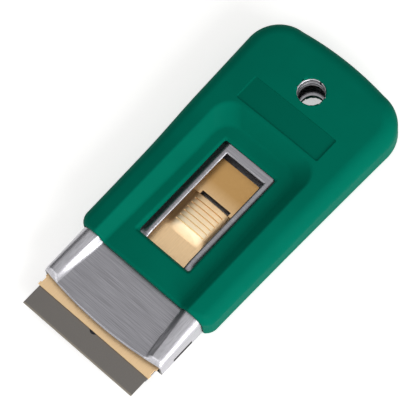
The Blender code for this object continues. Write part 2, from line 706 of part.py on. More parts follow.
def blade_clamp():
    """The lower jaw, with the boss that stands in the blade's hole."""
    front = BLADE_HOLE_SETBACK - CLAMP_FRONT_MARGIN
    rear = CLAMP_RIVET_PLACE + CLAMP_REAR_MARGIN
    shape = block(-HOLDER_SIDE, HOLDER_SIDE, front, rear, CLAMP_LOW, CLAMP_TOP)
    clamp = mesh_object("blade_clamp", shape, SPRING)
    middle = (CLAMP_LOW + CLAMP_TOP) / 2
    boss = drum(BOSS_RADIUS, 0, BOSS_PLACE, middle, BLADE_TOP, RIVET_SIDES)
    combine(clamp, "clamp_boss", boss, "UNION")
    rivet_bores(clamp, rivet_pair(CLAMP_RIVET_SPREAD, CLAMP_RIVET_PLACE), CLAMP_LOW, CLAMP_TOP)
    carry(clamp, CLAMP_HINGE)
    return clamp


# Thumb plate


def rest_stations():
    """Places along the thumb plate, with the rest's height and its groove there as shares."""
    yield THUMB_FRONT, 0, 0
    for along, up in REST_RAMP_SHARES:
        yield REST_FRONT + REST_RAMP * along, up, 0
    for i in range(RIB_COUNT):
        start = RIB_START + i * RIB_PITCH
        yield start, 1, 1
        yield start + RIB_PITCH / 4, 1, 0
        yield start + RIB_PITCH * 3 / 4, 1, 0
    for along, up in REST_ROLL_SHARES:
        yield REST_REAR + REST_ROLL * along, up, 0
    yield THUMB_REAR, 0, 0


def rest_row(place, up, groove):
    """The right half of the thumb plate's top at one station."""
    foot = REST_FOOT_WIDTH / 2
    slope = foot - REST_TOP_WIDTH / 2
    row = []
    for share in REST_ACROSS_SHARES:
        across = eased((foot - foot * share) / slope)
        height = across * (up * REST_HEIGHT - groove * RIB_DEPTH)
        row.append(Vector((foot * share, at(place), HOLDER_TOP + height)))
    return row + [Vector((THUMB_PLATE_SIDE, at(place), HOLDER_TOP))]


def thumb_plate():
    """The thumb plate: a pressed, ribbed rest with a slit behind it, and two lock ears."""
    rows = [rest_row(*station) for station in rest_stations()]
    plate = mirrored_sheet("thumb_plate", rows, THUMB_SHEET, BRASS)
    half = SLIT_WIDTH / 2
    front = SLIT_FRONT + SHEET_GAP
    slit = block(-half, half, front, SLIT_REAR, THUMB_LOW - OVERRUN, HOLDER_TOP + OVERRUN)
    combine(plate, "slit_cutter", slit)
    front = LOCK_PLACE - LOCK_EAR_LENGTH / 2
    rear = LOCK_PLACE + LOCK_EAR_LENGTH / 2
    middle = (THUMB_LOW + HOLDER_TOP) / 2
    for side, hand in HANDS:
        left = side * LOCK_SPREAD / 2 - LOCK_EAR_WIDTH / 2
        ear = block(left, left + LOCK_EAR_WIDTH, front, rear, middle, PANEL_UNDERSIDE - SEAT_GAP)
        combine(plate, "lock_ear_" + hand, ear, "UNION")
    rivet_bores(plate, rivet_pair(PLATE_RIVET_SPREAD, THUMB_HINGE_PLACE), THUMB_LOW, HOLDER_TOP)
    carry(plate, THUMB_HINGE)
    return plate


def leaf_spring():
    """The leaf spring: riveted under the tail, bowed down, and up to the thumb plate."""
    seat_top = TAIL_LOW - SHEET_GAP
    bow_top = BACK_PLATE_TOP + SEAT_GAP + SPRING_SHEET
    end_top = THUMB_LOW - SEAT_GAP
    seat = SPRING_RIVET_PLACE + SPRING_SEAT_LENGTH
    end = REST_FRONT - SPRING_END_MARGIN
    bow = between(seat, end, SPRING_BOW_SHARE)
    line = [(SPRING_RIVET_PLACE - SPRING_SEAT_LENGTH, seat_top)]
    for start, stop, start_top, stop_top in ((seat, bow, seat_top, bow_top), (bow, end, bow_top, end_top)):
        for i in range(ARC_STEPS):
            share = i / ARC_STEPS
            line.append((between(start, stop, share), between(start_top, stop_top, eased(share))))
    line.append((end, end_top))
    side = SPRING_WIDTH / 2
    rows = [[Vector((0, at(place), top)), Vector((side, at(place), top))] for place, top in line]
    spring = mirrored_sheet("leaf_spring", rows, SPRING_SHEET, SPRING)
    rivet_bores(spring, [(0, SPRING_RIVET_PLACE)], bow_top, seat_top)
    carry(spring, SLIDER)
    return spring


# Rivets


def rivet(name, x, place, low, high, material):
    """A turned rivet through sheets that lie between two heights, with a domed head at each end."""
    top = high + SHEET_GAP
    foot = low - SHEET_GAP
    flatten = RIVET_HEAD_HEIGHT / RIVET_HEAD_RADIUS
    upper = [(r, top + z * flatten) for r, z in arc((0, 0), RIVET_HEAD_RADIUS, 90, -90, 3)]
    lower = [(r, foot + z * flatten) for r, z in arc((0, 0), RIVET_HEAD_RADIUS, 0, -90, 3)]
    profile = upper + [(RIVET_RADIUS, top), (RIVET_RADIUS, foot)] + lower
    shape = bmesh.new()
    line = [shape.verts.new((r, 0, z)) for r, z in profile]
    for above, below in zip(line, line[1:]):
        shape.edges.new((above, below))
    pin = mesh_object(name, shape, material)
    pin.location = (x, at(place), 0)
    turn = pin.modifiers.new("turned", "SCREW")
    turn.steps = RIVET_SIDES
    turn.render_steps = RIVET_SIDES
    turn.use_merge_vertices = True
    turn.merge_threshold = WELD_DISTANCE
    carry(pin, SLIDER)
    return pin


def rivets():
    """All five rivets, each as its own piece."""
    for (side, hand) in HANDS:
        x = side * CLAMP_RIVET_SPREAD / 2
        rivet("clamp_rivet_" + hand, x, CLAMP_RIVET_PLACE, CLAMP_LOW, HOLDER_TOP, BRASS)
        x = side * PLATE_RIVET_SPREAD / 2
        rivet("plate_rivet_" + hand, x, THUMB_HINGE_PLACE, TAIL_LOW, HOLDER_TOP, BRASS)
    spring_low = TAIL_LOW - SHEET_GAP - SPRING_SHEET
    rivet("spring_rivet", 0, SPRING_RIVET_PLACE, spring_low, TAIL_TOP, SPRING)


def main():
    grip_sleeve()
    upper_shell()
    back_plate()
    hole_collar()
    razor_blade()
    blade_holder()
    blade_clamp()
    thumb_plate()
    leaf_spring()
    rivets()


main()
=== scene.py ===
"""Dresses the packed safety scraper: finished shapes and finishes round its working model.

The packed model gives the places, and the sizes below give the forms between them.
Lengths are metres, and only the defaults in the groups of sizes are written in millimetres.
The blade's edge is at the -Y end and +Z is the thumb rest's face.
"""

import math
from contextlib import contextmanager

import bmesh
import bpy
import numpy as np
from mathutils import Matrix, Vector


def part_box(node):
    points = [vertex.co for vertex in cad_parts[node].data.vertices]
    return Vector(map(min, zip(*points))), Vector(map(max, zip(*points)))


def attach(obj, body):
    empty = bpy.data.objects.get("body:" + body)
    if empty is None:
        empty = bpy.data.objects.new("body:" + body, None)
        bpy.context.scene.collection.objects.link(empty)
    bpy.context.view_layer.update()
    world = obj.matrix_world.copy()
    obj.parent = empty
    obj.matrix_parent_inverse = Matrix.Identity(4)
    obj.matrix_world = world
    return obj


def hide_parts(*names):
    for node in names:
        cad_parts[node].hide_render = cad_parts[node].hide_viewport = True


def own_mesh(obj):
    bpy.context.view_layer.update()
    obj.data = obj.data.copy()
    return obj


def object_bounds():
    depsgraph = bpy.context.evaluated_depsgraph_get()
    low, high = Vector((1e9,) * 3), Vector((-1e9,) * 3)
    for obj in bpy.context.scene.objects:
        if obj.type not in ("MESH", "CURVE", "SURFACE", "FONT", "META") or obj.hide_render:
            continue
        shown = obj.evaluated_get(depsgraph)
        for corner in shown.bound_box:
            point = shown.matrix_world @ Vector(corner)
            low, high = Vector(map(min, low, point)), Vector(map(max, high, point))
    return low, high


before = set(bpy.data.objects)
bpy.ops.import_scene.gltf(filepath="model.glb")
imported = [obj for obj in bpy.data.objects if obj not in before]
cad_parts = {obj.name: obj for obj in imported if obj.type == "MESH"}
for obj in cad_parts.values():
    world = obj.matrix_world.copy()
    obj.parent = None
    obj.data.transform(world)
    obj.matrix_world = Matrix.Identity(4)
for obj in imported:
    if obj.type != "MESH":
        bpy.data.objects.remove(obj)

bl_info = {
    "name": "Safety Scraper Dressing",
    "version": (1, 0, 0),
    "blender": (4, 5, 0),
    "location": "View3D > Sidebar > Scraper",
    "description": "Finished shapes and finishes for a pocket safety scraper",
    "category": "Add Mesh",
}

MM = 0.001

# Where the working model's pieces lie
CAD_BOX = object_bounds()
SLEEVE_LOW, SLEEVE_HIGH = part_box("grip_sleeve")
SHELL_LOW, SHELL_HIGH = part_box("upper_shell")
BACK_LOW, BACK_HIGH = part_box("back_plate")
COLLAR_LOW, COLLAR_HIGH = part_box("hole_collar")
BLADE_LOW, BLADE_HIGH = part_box("razor_blade")
HOLDER_LOW, HOLDER_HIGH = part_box("blade_holder")
THUMB_LOW, THUMB_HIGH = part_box("thumb_plate")
HOLE_PLACE = (COLLAR_LOW.y + COLLAR_HIGH.y) / 2

# Travel of the slide to each lock slot: at work, blade drawn in, blade change
LOCK_TRAVELS = (0, 10.5 * MM, -5.5 * MM)

# Clearances and the radius that a pressed or moulded edge keeps
SEAT_GAP = 0.3 * MM
SHEET_GAP = 0.15 * MM
CRISP_RADIUS = 0.12 * MM

# Angles from which an edge is drawn sharp and from which it is rounded
SMOOTH_ANGLE = math.radians(35)
BEVEL_ANGLE = math.radians(50)

# Points nearer than this are one, and places in metres are compared to this many digits
MERGE_GAP = 0.001 * MM
PLACE_DIGITS = 7

# Least rise of the normal of a face that counts as facing up
FACING_UP = 0.9

# Steps round a hole and a rivet, and over a rivet's head, a corner, a fold and a curve
HOLE_STEPS = 96
RIVET_STEPS = 32
HEAD_STEPS = 8
CORNER_STEPS = 3
FOLD_STEPS = 6
CURVE_STEPS = 14

# Steps of the housing's grid: short and long stretches, then those of the window's rim
SHORT_STEPS = 4
LONG_STEPS = 8
WINDOW_STEPS = 3
ROLL_STEPS = 2
RIM_STEPS = 9
RIM_RISE_STEPS = 6
RIM_FALL_STEPS = 5

# Steps of the thumb plate's grid: along one rib, and across half of its arch
RIB_STEPS = 20
ARCH_STEPS = 24

# Where painted shade begins to darken the brass towards the rear, and where it is full
REAR_SHADE_START = -2.0 * MM
REAR_SHADE_END = 5.0 * MM

# Where the ribs' painted highlight is full, and where it has faded out
RIB_HIGHLIGHT_START = -9.0 * MM
RIB_HIGHLIGHT_END = 0.0 * MM

# Roughness of the nickel plating
POLISHED_ROUGHNESS = 0.37
BRUSHED_ROUGHNESS = 0.36

# Grid of the sleeve's skin: its steps where the form turns, and how fast they grow from there
GRID_FINE = 0.13 * MM
GRID_MEDIUM = 0.33 * MM
GRID_COARSE = 0.9 * MM
GRID_RIM = GRID_FINE * 1.3
GRID_EDGE = GRID_FINE * 1.5
GRID_WALL = GRID_FINE * 1.7
GRID_CURVE = GRID_MEDIUM * 0.8
GRID_BASE = GRID_MEDIUM * 1.3
GRID_GROWTH_SHARE = 0.22
HOLE_MARGIN = 1.1

# How the skin's points settle: the step that its slope is taken over, the least slope that
# is trusted, the share of a cell that a point may stray from it, and the number of rounds
SLOPE_STEP = 0.01 * MM
LEAST_SLOPE = 0.2
CELL_SLACK = 0.3
SETTLE_STEPS = 6

# Share of the blade's bevel over which its ground finish ends
GROUND_BLEND = 0.1


def length(name, description, size):
    """A size that a user can change, given in millimetres."""
    return bpy.props.FloatProperty(
        name=name, description=description, default=size * MM, unit="LENGTH", precision=5
    )


def ratio(name, description, value):
    """A plain number that a user can change."""
    return bpy.props.FloatProperty(name=name, description=description, default=value)


def linear(code):
    """Turns an sRGB hex colour into the linear values that Blender's sockets take."""
    values = [int(code[i:i + 2], 16) / 255 for i in (1, 3, 5)]
    return tuple(v / 12.92 if v <= 0.04045 else ((v + 0.055) / 1.055) ** 2.4 for v in values)


def colour(name, description, code):
    """A colour that a user can change, given as sRGB hex."""
    return bpy.props.FloatVectorProperty(
        name=name, description=description, default=linear(code), subtype="COLOR", min=0, max=1
    )


class SCRAPER_PG_sleeve(bpy.types.PropertyGroup):
    """Sizes of the grip sleeve."""

    flare: length("Flare", "How much wider each side is at the rear", 1.7)
    flare_curve: ratio("Flare curve", "Power that bends the flare", 1.4)
    rise: length("Rise", "How much higher the top's sides are at the rear", 0.45)
    crown: length("Crown, front", "How far the top arches across the front", 2.0)
    crown_rear: length("Crown, rear", "How far it arches across the rear", 0.45)
    crown_side: length("Crown side", "Half the width that the arch spans", 17.0)
    crown_start: length("Crown start", "From the front to where the arch fades", 25.1)
    crown_fade: length("Crown fade", "Length over which it fades", 22.0)
    corner_radius: length("Rear corner", "Radius of the rear corners", 10.2)
    rear_bow: length("Rear bow", "How far the rear end bows out", 1.0)
    front_corner: length("Front corner", "Radius of the front corners", 3.3)
    front_corner_reach: length("Front corner reach", "Width over which it sets in", 6.0)
    front_edge: length("Front edge", "Radius of the front rim", 0.8)
    top_edge_front: length("Top edge, front", "Radius of the long top edges", 3.0)
    top_edge: length("Top edge, rear", "The same at the rear", 4.7)
    back_edge: length("Back edge", "Radius of the edges underneath", 3.0)
    trough_side: length("Trough side", "Half the trough floor's width", 13.8)
    trough_taper: length("Trough taper", "How much each side of it narrows", 0.9)
    trough_length: length("Trough length", "From the sleeve's front to its rear", 46.45)
    trough_corner: length("Trough corner", "Radius of its rear corners", 5.5)
    trough_front: length("Front floor", "Height of its floor over the panel, front", 2.1)
    trough_rear: length("Rear floor", "Height of its floor over the panel, rear", 1.3)
    floor_crown: length("Floor crown", "How far its floor arches up, front", 0.35)
    floor_fall: length("Floor fall", "How far the floor then falls to its sides", 0.75)
    trough_lean: ratio("Trough lean", "Outward run of its rear wall for each unit up", 1.15)
    trough_edge: length("Trough edge", "Radius of its upper edges", 0.35)
    trough_foot: length("Trough foot", "Radius along its floor", 0.4)
    cutout_start: length("Cut-out start", "From the sleeve's front", 8.6)
    cutout_length: length("Cut-out length", "Length of the cut-out", 33.05)
    cutout_side: length("Cut-out side", "Half its width", 8.7)
    cutout_shift: length("Cut-out shift", "How far it sits to the right", -0.3)
    cutout_corner: length("Cut-out corner", "Radius of its corners", 0.6)
    cutout_edge: length("Cut-out edge", "Radius of its upper edge", 0.45)
    cutout_lean: ratio("Cut-out lean", "Outward run of its walls for each unit up", 0.5)
    cutout_rear_lean: ratio("Rear lean", "The same for its rear wall", 1.0)
    undercut: length("Undercut", "Width of the relief under the cut-out's rim", 1.6)
    undercut_front: length("Undercut front", "Height of that relief, front", 0.5)
    undercut_rear: length("Undercut rear", "Height of that relief, rear", 0.7)
    label_width: length("Recess width", "Width of the bare recess", 28.0)
    label_length: length("Recess length", "Length of the bare recess", 7.5)
    label_depth: length("Recess depth", "Depth of the bare recess", 0.35)
    label_from_rear: length("Recess place", "From the sleeve's rear", 19.8)
    label_corner: length("Recess corner", "Radius of its corners", 0.4)
    hole: length("Hole", "Radius of the hanging hole in the plastic", 3.82)
    hole_edge: length("Hole edge", "Radius round the hanging hole", 0.2)


class SCRAPER_PG_housing(bpy.types.PropertyGroup):
    """Sizes of the stamped housing."""

    sheet: length("Sheet", "Thickness of the steel", 0.65)
    bead_height: length("Bead height", "Height of the side beads over the panel", 2.4)
    bead_start: length("Bead start", "Length of the beads' run-out at the mouth", 1.5)
    bead_start_share: ratio("Start share", "Share of the height gained there", 0.3)
    bead_runout: length("Bead run-out", "Where the beads reach full height", 16.5)
    bead_front: length("Front bead width", "Width of a bead at the mouth", 5.35)
    bead_rear: length("Rear bead width", "Width of a bead where it is full", 7.0)
    bead_wall: length("Bead wall", "Width of its inner wall", 2.2)
    shoulder: length("Shoulder", "Radius along the top of the sides", 3.0)
    lip_shoulder: length("Lip shoulder", "The same at the mouth", 1.2)
    lip_bow: length("Lip bow", "How far the front lip bows out", 1.8)
    lip_bow_fade: length("Lip fade", "How far behind the lip the bow has gone", 8.0)
    fold: length("Fold", "Radius of the folds below", 1.0)
    turned_lip: length("Turned lip", "Width of the lips turned in below", 4.0)
    panel_length: length("Panel length", "From the mouth to the rear ramp", 62.35)
    panel_ramp: length("Panel ramp", "Length of the rear ramp", 2.4)
    window_start: length("Window start", "From the mouth", 23.2)
    window_length: length("Window length", "Length of the window", 31.15)
    window_side: length("Window side", "Half its width", 6.45)
    rim_height: length("Rim height", "How far the window's rim stands up", 0.6)
    rim_sink: length("Rim sink", "How far the panel beside it sinks", 0.3)
    rim_flat: length("Rim flat", "Width of the rim before it falls", 0.5)
    rim_run: length("Rim run", "Width over which it falls", 1.9)
    rim_start: length("Rim start", "Length over which the rim rises at its front", 3.0)
    rim_end: length("Rim end", "How far behind the window the rim ends", 3.8)
    roll: length("Roll", "How far the edges of the mouth and the window roll down", 0.32)
    slot_in: length("Lock slot, inner", "Inner side of the lock slots", 9.4)
    slot_out: length("Lock slot, outer", "Outer side of the lock slots", 10.3)
    slot_length: length("Lock slot length", "Length of a lock slot", 1.9)
    slot_work: length("Lock slot place", "From the mouth to the slot for work", 46.95)
    side_slot_start: length("Side slot start", "From the mouth", 4.5)
    side_slot_length: length("Side slot length", "Length of the side slot", 6.8)
    side_slot_low: length("Side slot low", "Height over the housing's base", 1.2)
    side_slot_height: length("Side slot height", "Height of the side slot", 1.3)
    edge: length("Edge", "Radius of the cut edges", 0.28)
    hole_radius: length("Hole radius", "Radius of the hanging hole", 3.6)
    back_hole_radius: length("Back hole radius", "The same in the back plate", 3.55)
    flange_wall: length("Flange wall", "Wall round the hole", 0.8)
    flange_depth: length("Flange depth", "Depth of the shell's drawn wall", 1.5)
    back_flange: length("Back flange", "Height of the back plate's wall", 1.6)
    back_sheet: length("Back sheet", "Thickness of the back plate", 0.5)
    back_edge: length("Back edge", "Radius of the back plate's edges", 0.16)


class SCRAPER_PG_thumb(bpy.types.PropertyGroup):
    """Sizes of the thumb plate and its ribbed rest."""

    sheet: length("Sheet", "Thickness of the plate", 0.5)
    rest_start: length("Rest start", "From the plate's front", 12.9)
    ramp: length("Ramp", "Length of the rest's front ramp", 3.1)
    ramp_ease_share: ratio("Ramp ease", "How much the ramp's two ends are eased", 0.35)
    height: length("Height", "Height of the rest", 1.5)
    foot_side: length("Foot side", "Half the width of its foot", 6.1)
    crown_power: ratio("Crown power", "How square the rest's arch is across", 3.2)
    roll: length("Roll", "Length of its rear roll", 0.45)
    rib_pitch: length("Rib pitch", "From one groove to the next", 1.45)
    rib_count: bpy.props.IntProperty(name="Ribs", description="Number of ribs", default=6)
    rib_side: length("Rib side", "Half the length of a groove", 5.0)
    rib_fade: length("Rib fade", "Length over which a groove ends", 0.6)
    rib_round: length("Rib round", "How far a rib arches between its grooves", 0.03)
    groove_depth: length("Groove depth", "Depth of the grooves", 0.3)
    groove_width: length("Groove width", "Width of a groove", 0.32)
    slit_length: length("Slit", "Length of the slit behind the rest", 1.1)
    slit_side: length("Slit side", "Half the slit's width", 4.9)
    ear_in: length("Ear, inner", "Inner side of the lock ears", 9.55)
    ear_out: length("Ear, outer", "Outer side of the lock ears", 10.05)
    ear_length: length("Ear length", "Length of a lock ear", 1.3)
    ear_place: length("Ear place", "From the plate's front", 29.95)
    edge: length("Edge", "Radius of the cut edges", 0.12)


class SCRAPER_PG_fittings(bpy.types.PropertyGroup):
    """Sizes of the rivets and of the edges of the small pieces."""

    rivet_radius: length("Rivet", "Radius of a rivet's shank", 0.8)
    head_radius: length("Head", "Radius of a rivet's head", 1.3)
    head_height: length("Head height", "Height of a rivet's head", 0.4)
    clamp_spread: length("Clamp rivets", "Distance between the clamp's rivets", 18.0)
    plate_spread: length("Plate rivets", "Distance between the plate's rivets", 12.0)
    collar_wall: length("Collar wall", "Wall of the hole's collar", 0.8)
    collar_roll: length("Collar roll", "Radius of the collar's rolled ends", 0.36)
    collar_split: length("Collar split", "Width of the split in the collar", 0.5)
    sheet_edge: length("Sheet edge", "Radius of the small pieces' edges", 0.08)
    blade_bevel: length("Ground bevel", "Width of the blade's ground bevel", 0.45)
    blade_edge: length("Blade edge", "Thickness of the blade at its edge", 0.03)
    blade_hole: length("Blade hole", "Radius of the blade's hole", 1.2)
    blade_hole_place: length("Blade hole place", "From the blade's edge", 6.7)
    holder_sheet: length("Holder sheet", "Thickness of the blade holder", 0.5)
    holder_jaw: length("Holder jaw", "Length of the holder's wide jaw", 14.5)
    holder_step: length("Holder step", "Length of the holder's narrowing, and of its step", 1.6)
    holder_tail: length("Holder tail", "Half the width of the holder's tail", 9.5)
    notch_start: length("Notch start", "From the holder's front", 1.0)
    notch_length: length("Notch length", "Length of the notch in each side", 1.8)
    notch_depth: length("Notch depth", "Depth of that notch", 0.4)


class SCRAPER_PG_finishes(bpy.types.PropertyGroup):
    """Colours of the finishes."""

    green: colour("Green", "Moulded sleeve", "#006F5A")
    nickel: colour("Nickel", "Plated housing", "#BFBEC3")
    brushed: colour("Brushed nickel", "Brushed panel of the housing", "#9A999E")
    brass: colour("Brass", "Plated holder and thumb plate", "#F8D6A8")
    # Painted shade: the darker brass painted over the rear of the thumb plate
    rear_shade: colour("Patina", "Where thumb grease has darkened the brass", "#C69C63")
    # Painted highlight: the pale colour painted on the ribs of the rest
    rib_highlight: colour("Worn brass", "Ribs that thumbs have polished pale", "#FFEDCB")
    carbon: colour("Carbon steel", "Blade", "#7E7A76")
    # The bevel's lighter grey is its own. Its warm brown is a painted reflection of the shaded
    # floor
    ground: colour("Ground steel", "Blade's ground bevel", "#8E877C")
    spring: colour("Spring steel", "Leaf spring and its rivet", "#9A9A9E")
    # Painted shade: the clamp is painted nearly black so that the blade's hole shows dark
    clamp_shade: colour("Blued steel", "Blade clamp", "#3A3C42")
    sheared: colour("Sheared steel", "Cut edges of the housing", "#8C8A88")


# Mesh helpers


def between(low, high, share):
    """The value at this share of the way from low to high, kept between the two."""
    return low + (high - low) * np.clip(share, 0, 1)


def eased(share):
    """A share of the way that sets off and arrives level."""
    share = np.clip(share, 0, 1)
    return share * share * (3 - 2 * share)


def spread(start, stop, count):
    """Evenly spaced values from start to stop, both included."""
    return [float(v) for v in np.linspace(start, stop, count + 1)]


def ordered(values):
    """Values in order, each only once."""
    return sorted({round(v, PLACE_DIGITS) for v in values})


def arc(centre, radius, start, turn, steps):
    """Points of an arc, with its start and its turn in degrees."""
    angles = [math.radians(a) for a in spread(start, start + turn, steps)]
    return [(centre[0] + radius * math.cos(a), centre[1] + radius * math.sin(a)) for a in angles]


@contextmanager
def editing(mesh):
    """Opens a mesh for editing, and writes the edited shape back to it."""
    shape = bmesh.new()
    shape.from_mesh(mesh)
    yield shape
    shape.to_mesh(mesh)
    shape.free()


def new_piece(name, material, vertices=(), faces=()):
    """A mesh object at the origin, with its place in its mesh."""
    mesh = bpy.data.meshes.new(name)
    mesh.from_pydata([tuple(v) for v in vertices], [], faces)
    mesh.materials.append(material)
    piece = bpy.data.objects.new(name, mesh)
    bpy.context.scene.collection.objects.link(piece)
    return piece


def mark(piece, name, values):
    """Stores a value for each point of a piece, which its finish can read."""
    attribute = piece.data.attributes.new(name, "FLOAT", "POINT")
    attribute.data.foreach_set("value", values)


def shade(piece):
    """Smooth shading, with the real edges kept sharp."""
    piece.data.shade_smooth()
    piece.data.set_sharp_from_angle(angle=SMOOTH_ANGLE)


def settle(piece):
    """Turns a piece's modifiers into plain mesh."""
    graph = bpy.context.evaluated_depsgraph_get()
    mesh = bpy.data.meshes.new_from_object(piece.evaluated_get(graph))
    old = piece.data
    piece.modifiers.clear()
    piece.data = mesh
    mesh.name = old.name
    bpy.data.meshes.remove(old)
    return piece


def soften(piece, radius):
    """Rounds the sharp edges of a piece."""
    bevel = piece.modifiers.new("soft edges", "BEVEL")
    bevel.width = radius
    bevel.segments = CORNER_STEPS
    bevel.limit_method = "ANGLE"
    bevel.angle_limit = BEVEL_ANGLE
    bevel.harden_normals = True


def sheet_piece(name, rows, thickness, edge, material, is_open=None, cut=None):
    """A bent sheet from a grid of points on its outer face, without the cells that are open.

    Its cut edges take a finish of their own where one is given.
    """
    piece = new_piece(name, material)
    with editing(piece.data) as shape:
        lines = [[shape.verts.new(point) for point in row] for row in rows]
        for near, far in zip(lines, lines[1:]):
            for corners in zip(near, near[1:], far[1:], far):
                middle = sum((corner.co for corner in corners), Vector()) / 4
                if is_open is None or not is_open(middle):
                    shape.faces.new(corners)
        loose = [point for point in shape.verts if not point.link_faces]
        bmesh.ops.delete(shape, geom=loose, context="VERTS")
    piece.data.shade_smooth()
    solidify = piece.modifiers.new("sheet", "SOLIDIFY")
    solidify.thickness = thickness
    solidify.offset = -1
    solidify.use_even_offset = True
    soften(piece, edge)
    if cut:
        # The rounded edges keep the finish of the faces
        piece.data.materials.append(cut)
        solidify.material_offset_rim = 1
        piece.modifiers["soft edges"].material = 0
    return piece


def prism(name, left, right, section, material):
    """A closed bar across the tool, from its section in Y and Z."""
    count = len(section)
    vertices = [(x, y, z) for x in (left, right) for y, z in section]
    faces = []
    for i in range(count):
        after = (i + 1) % count
        faces.append((i, after, count + after, count + i))
    faces.append(tuple(reversed(range(count))))
    faces.append(tuple(range(count, 2 * count)))
    return new_piece(name, material, vertices, faces)


def turned(name, section, place, start, turn, steps, material):
    """A ring with this closed section, turned by some degrees round an upright axis."""
    count = len(section)
    closed = turn >= 360
    vertices = []
    for i in range(steps if closed else steps + 1):
        angle = math.radians(start + turn * i / steps)
        vertices += [(r * math.cos(angle), place + r * math.sin(angle), z) for r, z in section]
    loops = len(vertices) // count
    faces = []
    for i in range(loops if closed else loops - 1):
        here = i * count
        there = (i + 1) % loops * count
        for j in range(count):
            after = (j + 1) % count
            faces.append((here + j, there + j, there + after, here + after))
    if not closed:
        faces.append(tuple(range(count - 1, -1, -1)))
        faces.append(tuple(range((loops - 1) * count, loops * count)))
    piece = new_piece(name, material, vertices, faces)
    with editing(piece.data) as shape:
        bmesh.ops.recalc_face_normals(shape, faces=shape.faces)
    shade(piece)
    return piece


def ring_section(inner, outer, low, high, radius):
    """The section of a ring with round edges."""
    corners = (
        (inner + radius, low + radius, 180),
        (outer - radius, low + radius, 270),
        (outer - radius, high - radius, 0),
        (inner + radius, high - radius, 90),
    )
    points = []
    for r, z, start in corners:
        points += arc((r, z), radius, start, 90, CORNER_STEPS)
    return points


def softened_copy(node, name, edge, material):
    """A copy of a node's mesh with its flat faces merged and its edges rounded."""
    piece = new_piece(name, material)
    with editing(piece.data) as shape:
        shape.from_mesh(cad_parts[node].data)
        bmesh.ops.remove_doubles(shape, verts=shape.verts, dist=MERGE_GAP)
        bmesh.ops.dissolve_limit(
            shape, angle_limit=math.radians(1), verts=shape.verts, edges=shape.edges
        )
    piece.data.shade_smooth()
    soften(piece, edge)
    return settle(piece)


def join(piece, other):
    """Joins another piece's mesh to a piece."""
    with editing(piece.data) as shape:
        shape.from_mesh(other.data)
    bpy.data.objects.remove(other, do_unlink=True)


def hand_over(piece, body, slot, *nodes):
    """Hangs a finished piece on its body, in place of the nodes that it stands for."""
    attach(piece, body)
    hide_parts(*nodes)


# Material helpers

# Values between which noise mostly lies
NOISE_LOW = 0.3
NOISE_HIGH = 0.7

# The Mix node's sockets for colour: its share, the colour under it, that over it, its result
MIX_SHARE = 0
MIX_UNDER = 6
MIX_OVER = 7
MIX_RESULT = 2

WHITE = (1, 1, 1, 1)
BLACK = (0, 0, 0, 1)


def feed(tree, node, inputs):
    """Sets or links inputs of a node."""
    for key, value in inputs.items():
        if isinstance(value, bpy.types.NodeSocket):
            tree.links.new(value, node.inputs[key])
        else:
            node.inputs[key].default_value = value


def add_node(tree, kind, inputs=None, output=0, **settings):
    """Adds a node with its settings and inputs, and gives one of its outputs."""
    node = tree.nodes.new(kind)
    for name, value in settings.items():
        setattr(node, name, value)
    feed(tree, node, inputs or {})
    return node.outputs[output] if node.outputs else None


def new_material(name, describe, *details):
    """A material whose shader gets the inputs that a function describes."""
    material = bpy.data.materials.new(name)
    material.use_nodes = True
    tree = material.node_tree
    feed(tree, tree.nodes["Principled BSDF"], describe(tree, *details))
    return material


def finish(describe):
    """The finish that a function describes and names, made when it is first asked for."""
    name = describe.__name__
    finishes = bpy.context.scene.scraper_finishes
    return bpy.data.materials.get(name) or new_material(name, describe, finishes)


def tone(hue, share=1):
    """A colour at a share of its strength, as a socket takes it."""
    return (*(v * share for v in hue), 1)


def layered(tree, under, *layers):
    """A colour with others laid over it in turn, each as far as its share says."""
    for share, over in layers:
        inputs = {MIX_SHARE: share, MIX_UNDER: under, MIX_OVER: over}
        under = add_node(tree, "ShaderNodeMix", inputs, MIX_RESULT, data_type="RGBA")
    return under


def grain(tree, size, *ranges, stretch=(1, 1, 1), detail=2.0):
    """Noise whose spots are this size in metres, stretched by a share along each axis.

    It is given plain, and then as it is taken to each of the ranges.
    """
    place = add_node(tree, "ShaderNodeTexCoord", output="Object")
    scale = [1 / (size * s) for s in stretch]
    spots = add_node(tree, "ShaderNodeMapping", {"Vector": place, "Scale": scale})
    inputs = {"Vector": spots, "Scale": 1.0, "Detail": detail}
    noise = add_node(tree, "ShaderNodeTexNoise", inputs)
    values = [noise]
    for low, high in ranges:
        inputs = {"Value": noise, "From Min": NOISE_LOW, "From Max": NOISE_HIGH}
        inputs |= {"To Min": low, "To Max": high}
        values.append(add_node(tree, "ShaderNodeMapRange", inputs))
    return values


def place_along(tree):
    """The Y of the place that is being coloured."""
    place = add_node(tree, "ShaderNodeTexCoord", output="Object")
    return add_node(tree, "ShaderNodeSeparateXYZ", {"Vector": place}, "Y")


# Finishes, each named for its metal or plastic


def moulded_polypropylene(tree, finishes):
    """Moulded polypropylene: satin, with the fine spark-eroded grain of its mould."""
    _, cloud = grain(tree, 9 * MM, (0, 1))
    recess = add_node(tree, "ShaderNodeAttribute", output="Fac", attribute_name="recess")
    green = finishes.green
    skin_tone = layered(tree, tone(green, 0.93), (cloud, tone(green)), (recess, tone(green, 0.82)))
    # Mould grain of about 0.1 mm, drawn at 0.3 mm so that it shows
    texture, rough = grain(tree, 0.3 * MM, (0.40, 0.50), detail=3.0)
    bump = {"Strength": 0.25, "Distance": 0.02 * MM, "Height": texture}
    return {
        "Base Color": skin_tone,
        "Roughness": rough,
        "Normal": add_node(tree, "ShaderNodeBump", bump),
        "IOR": 1.49,
        "Specular IOR Level": 0.01,
    }


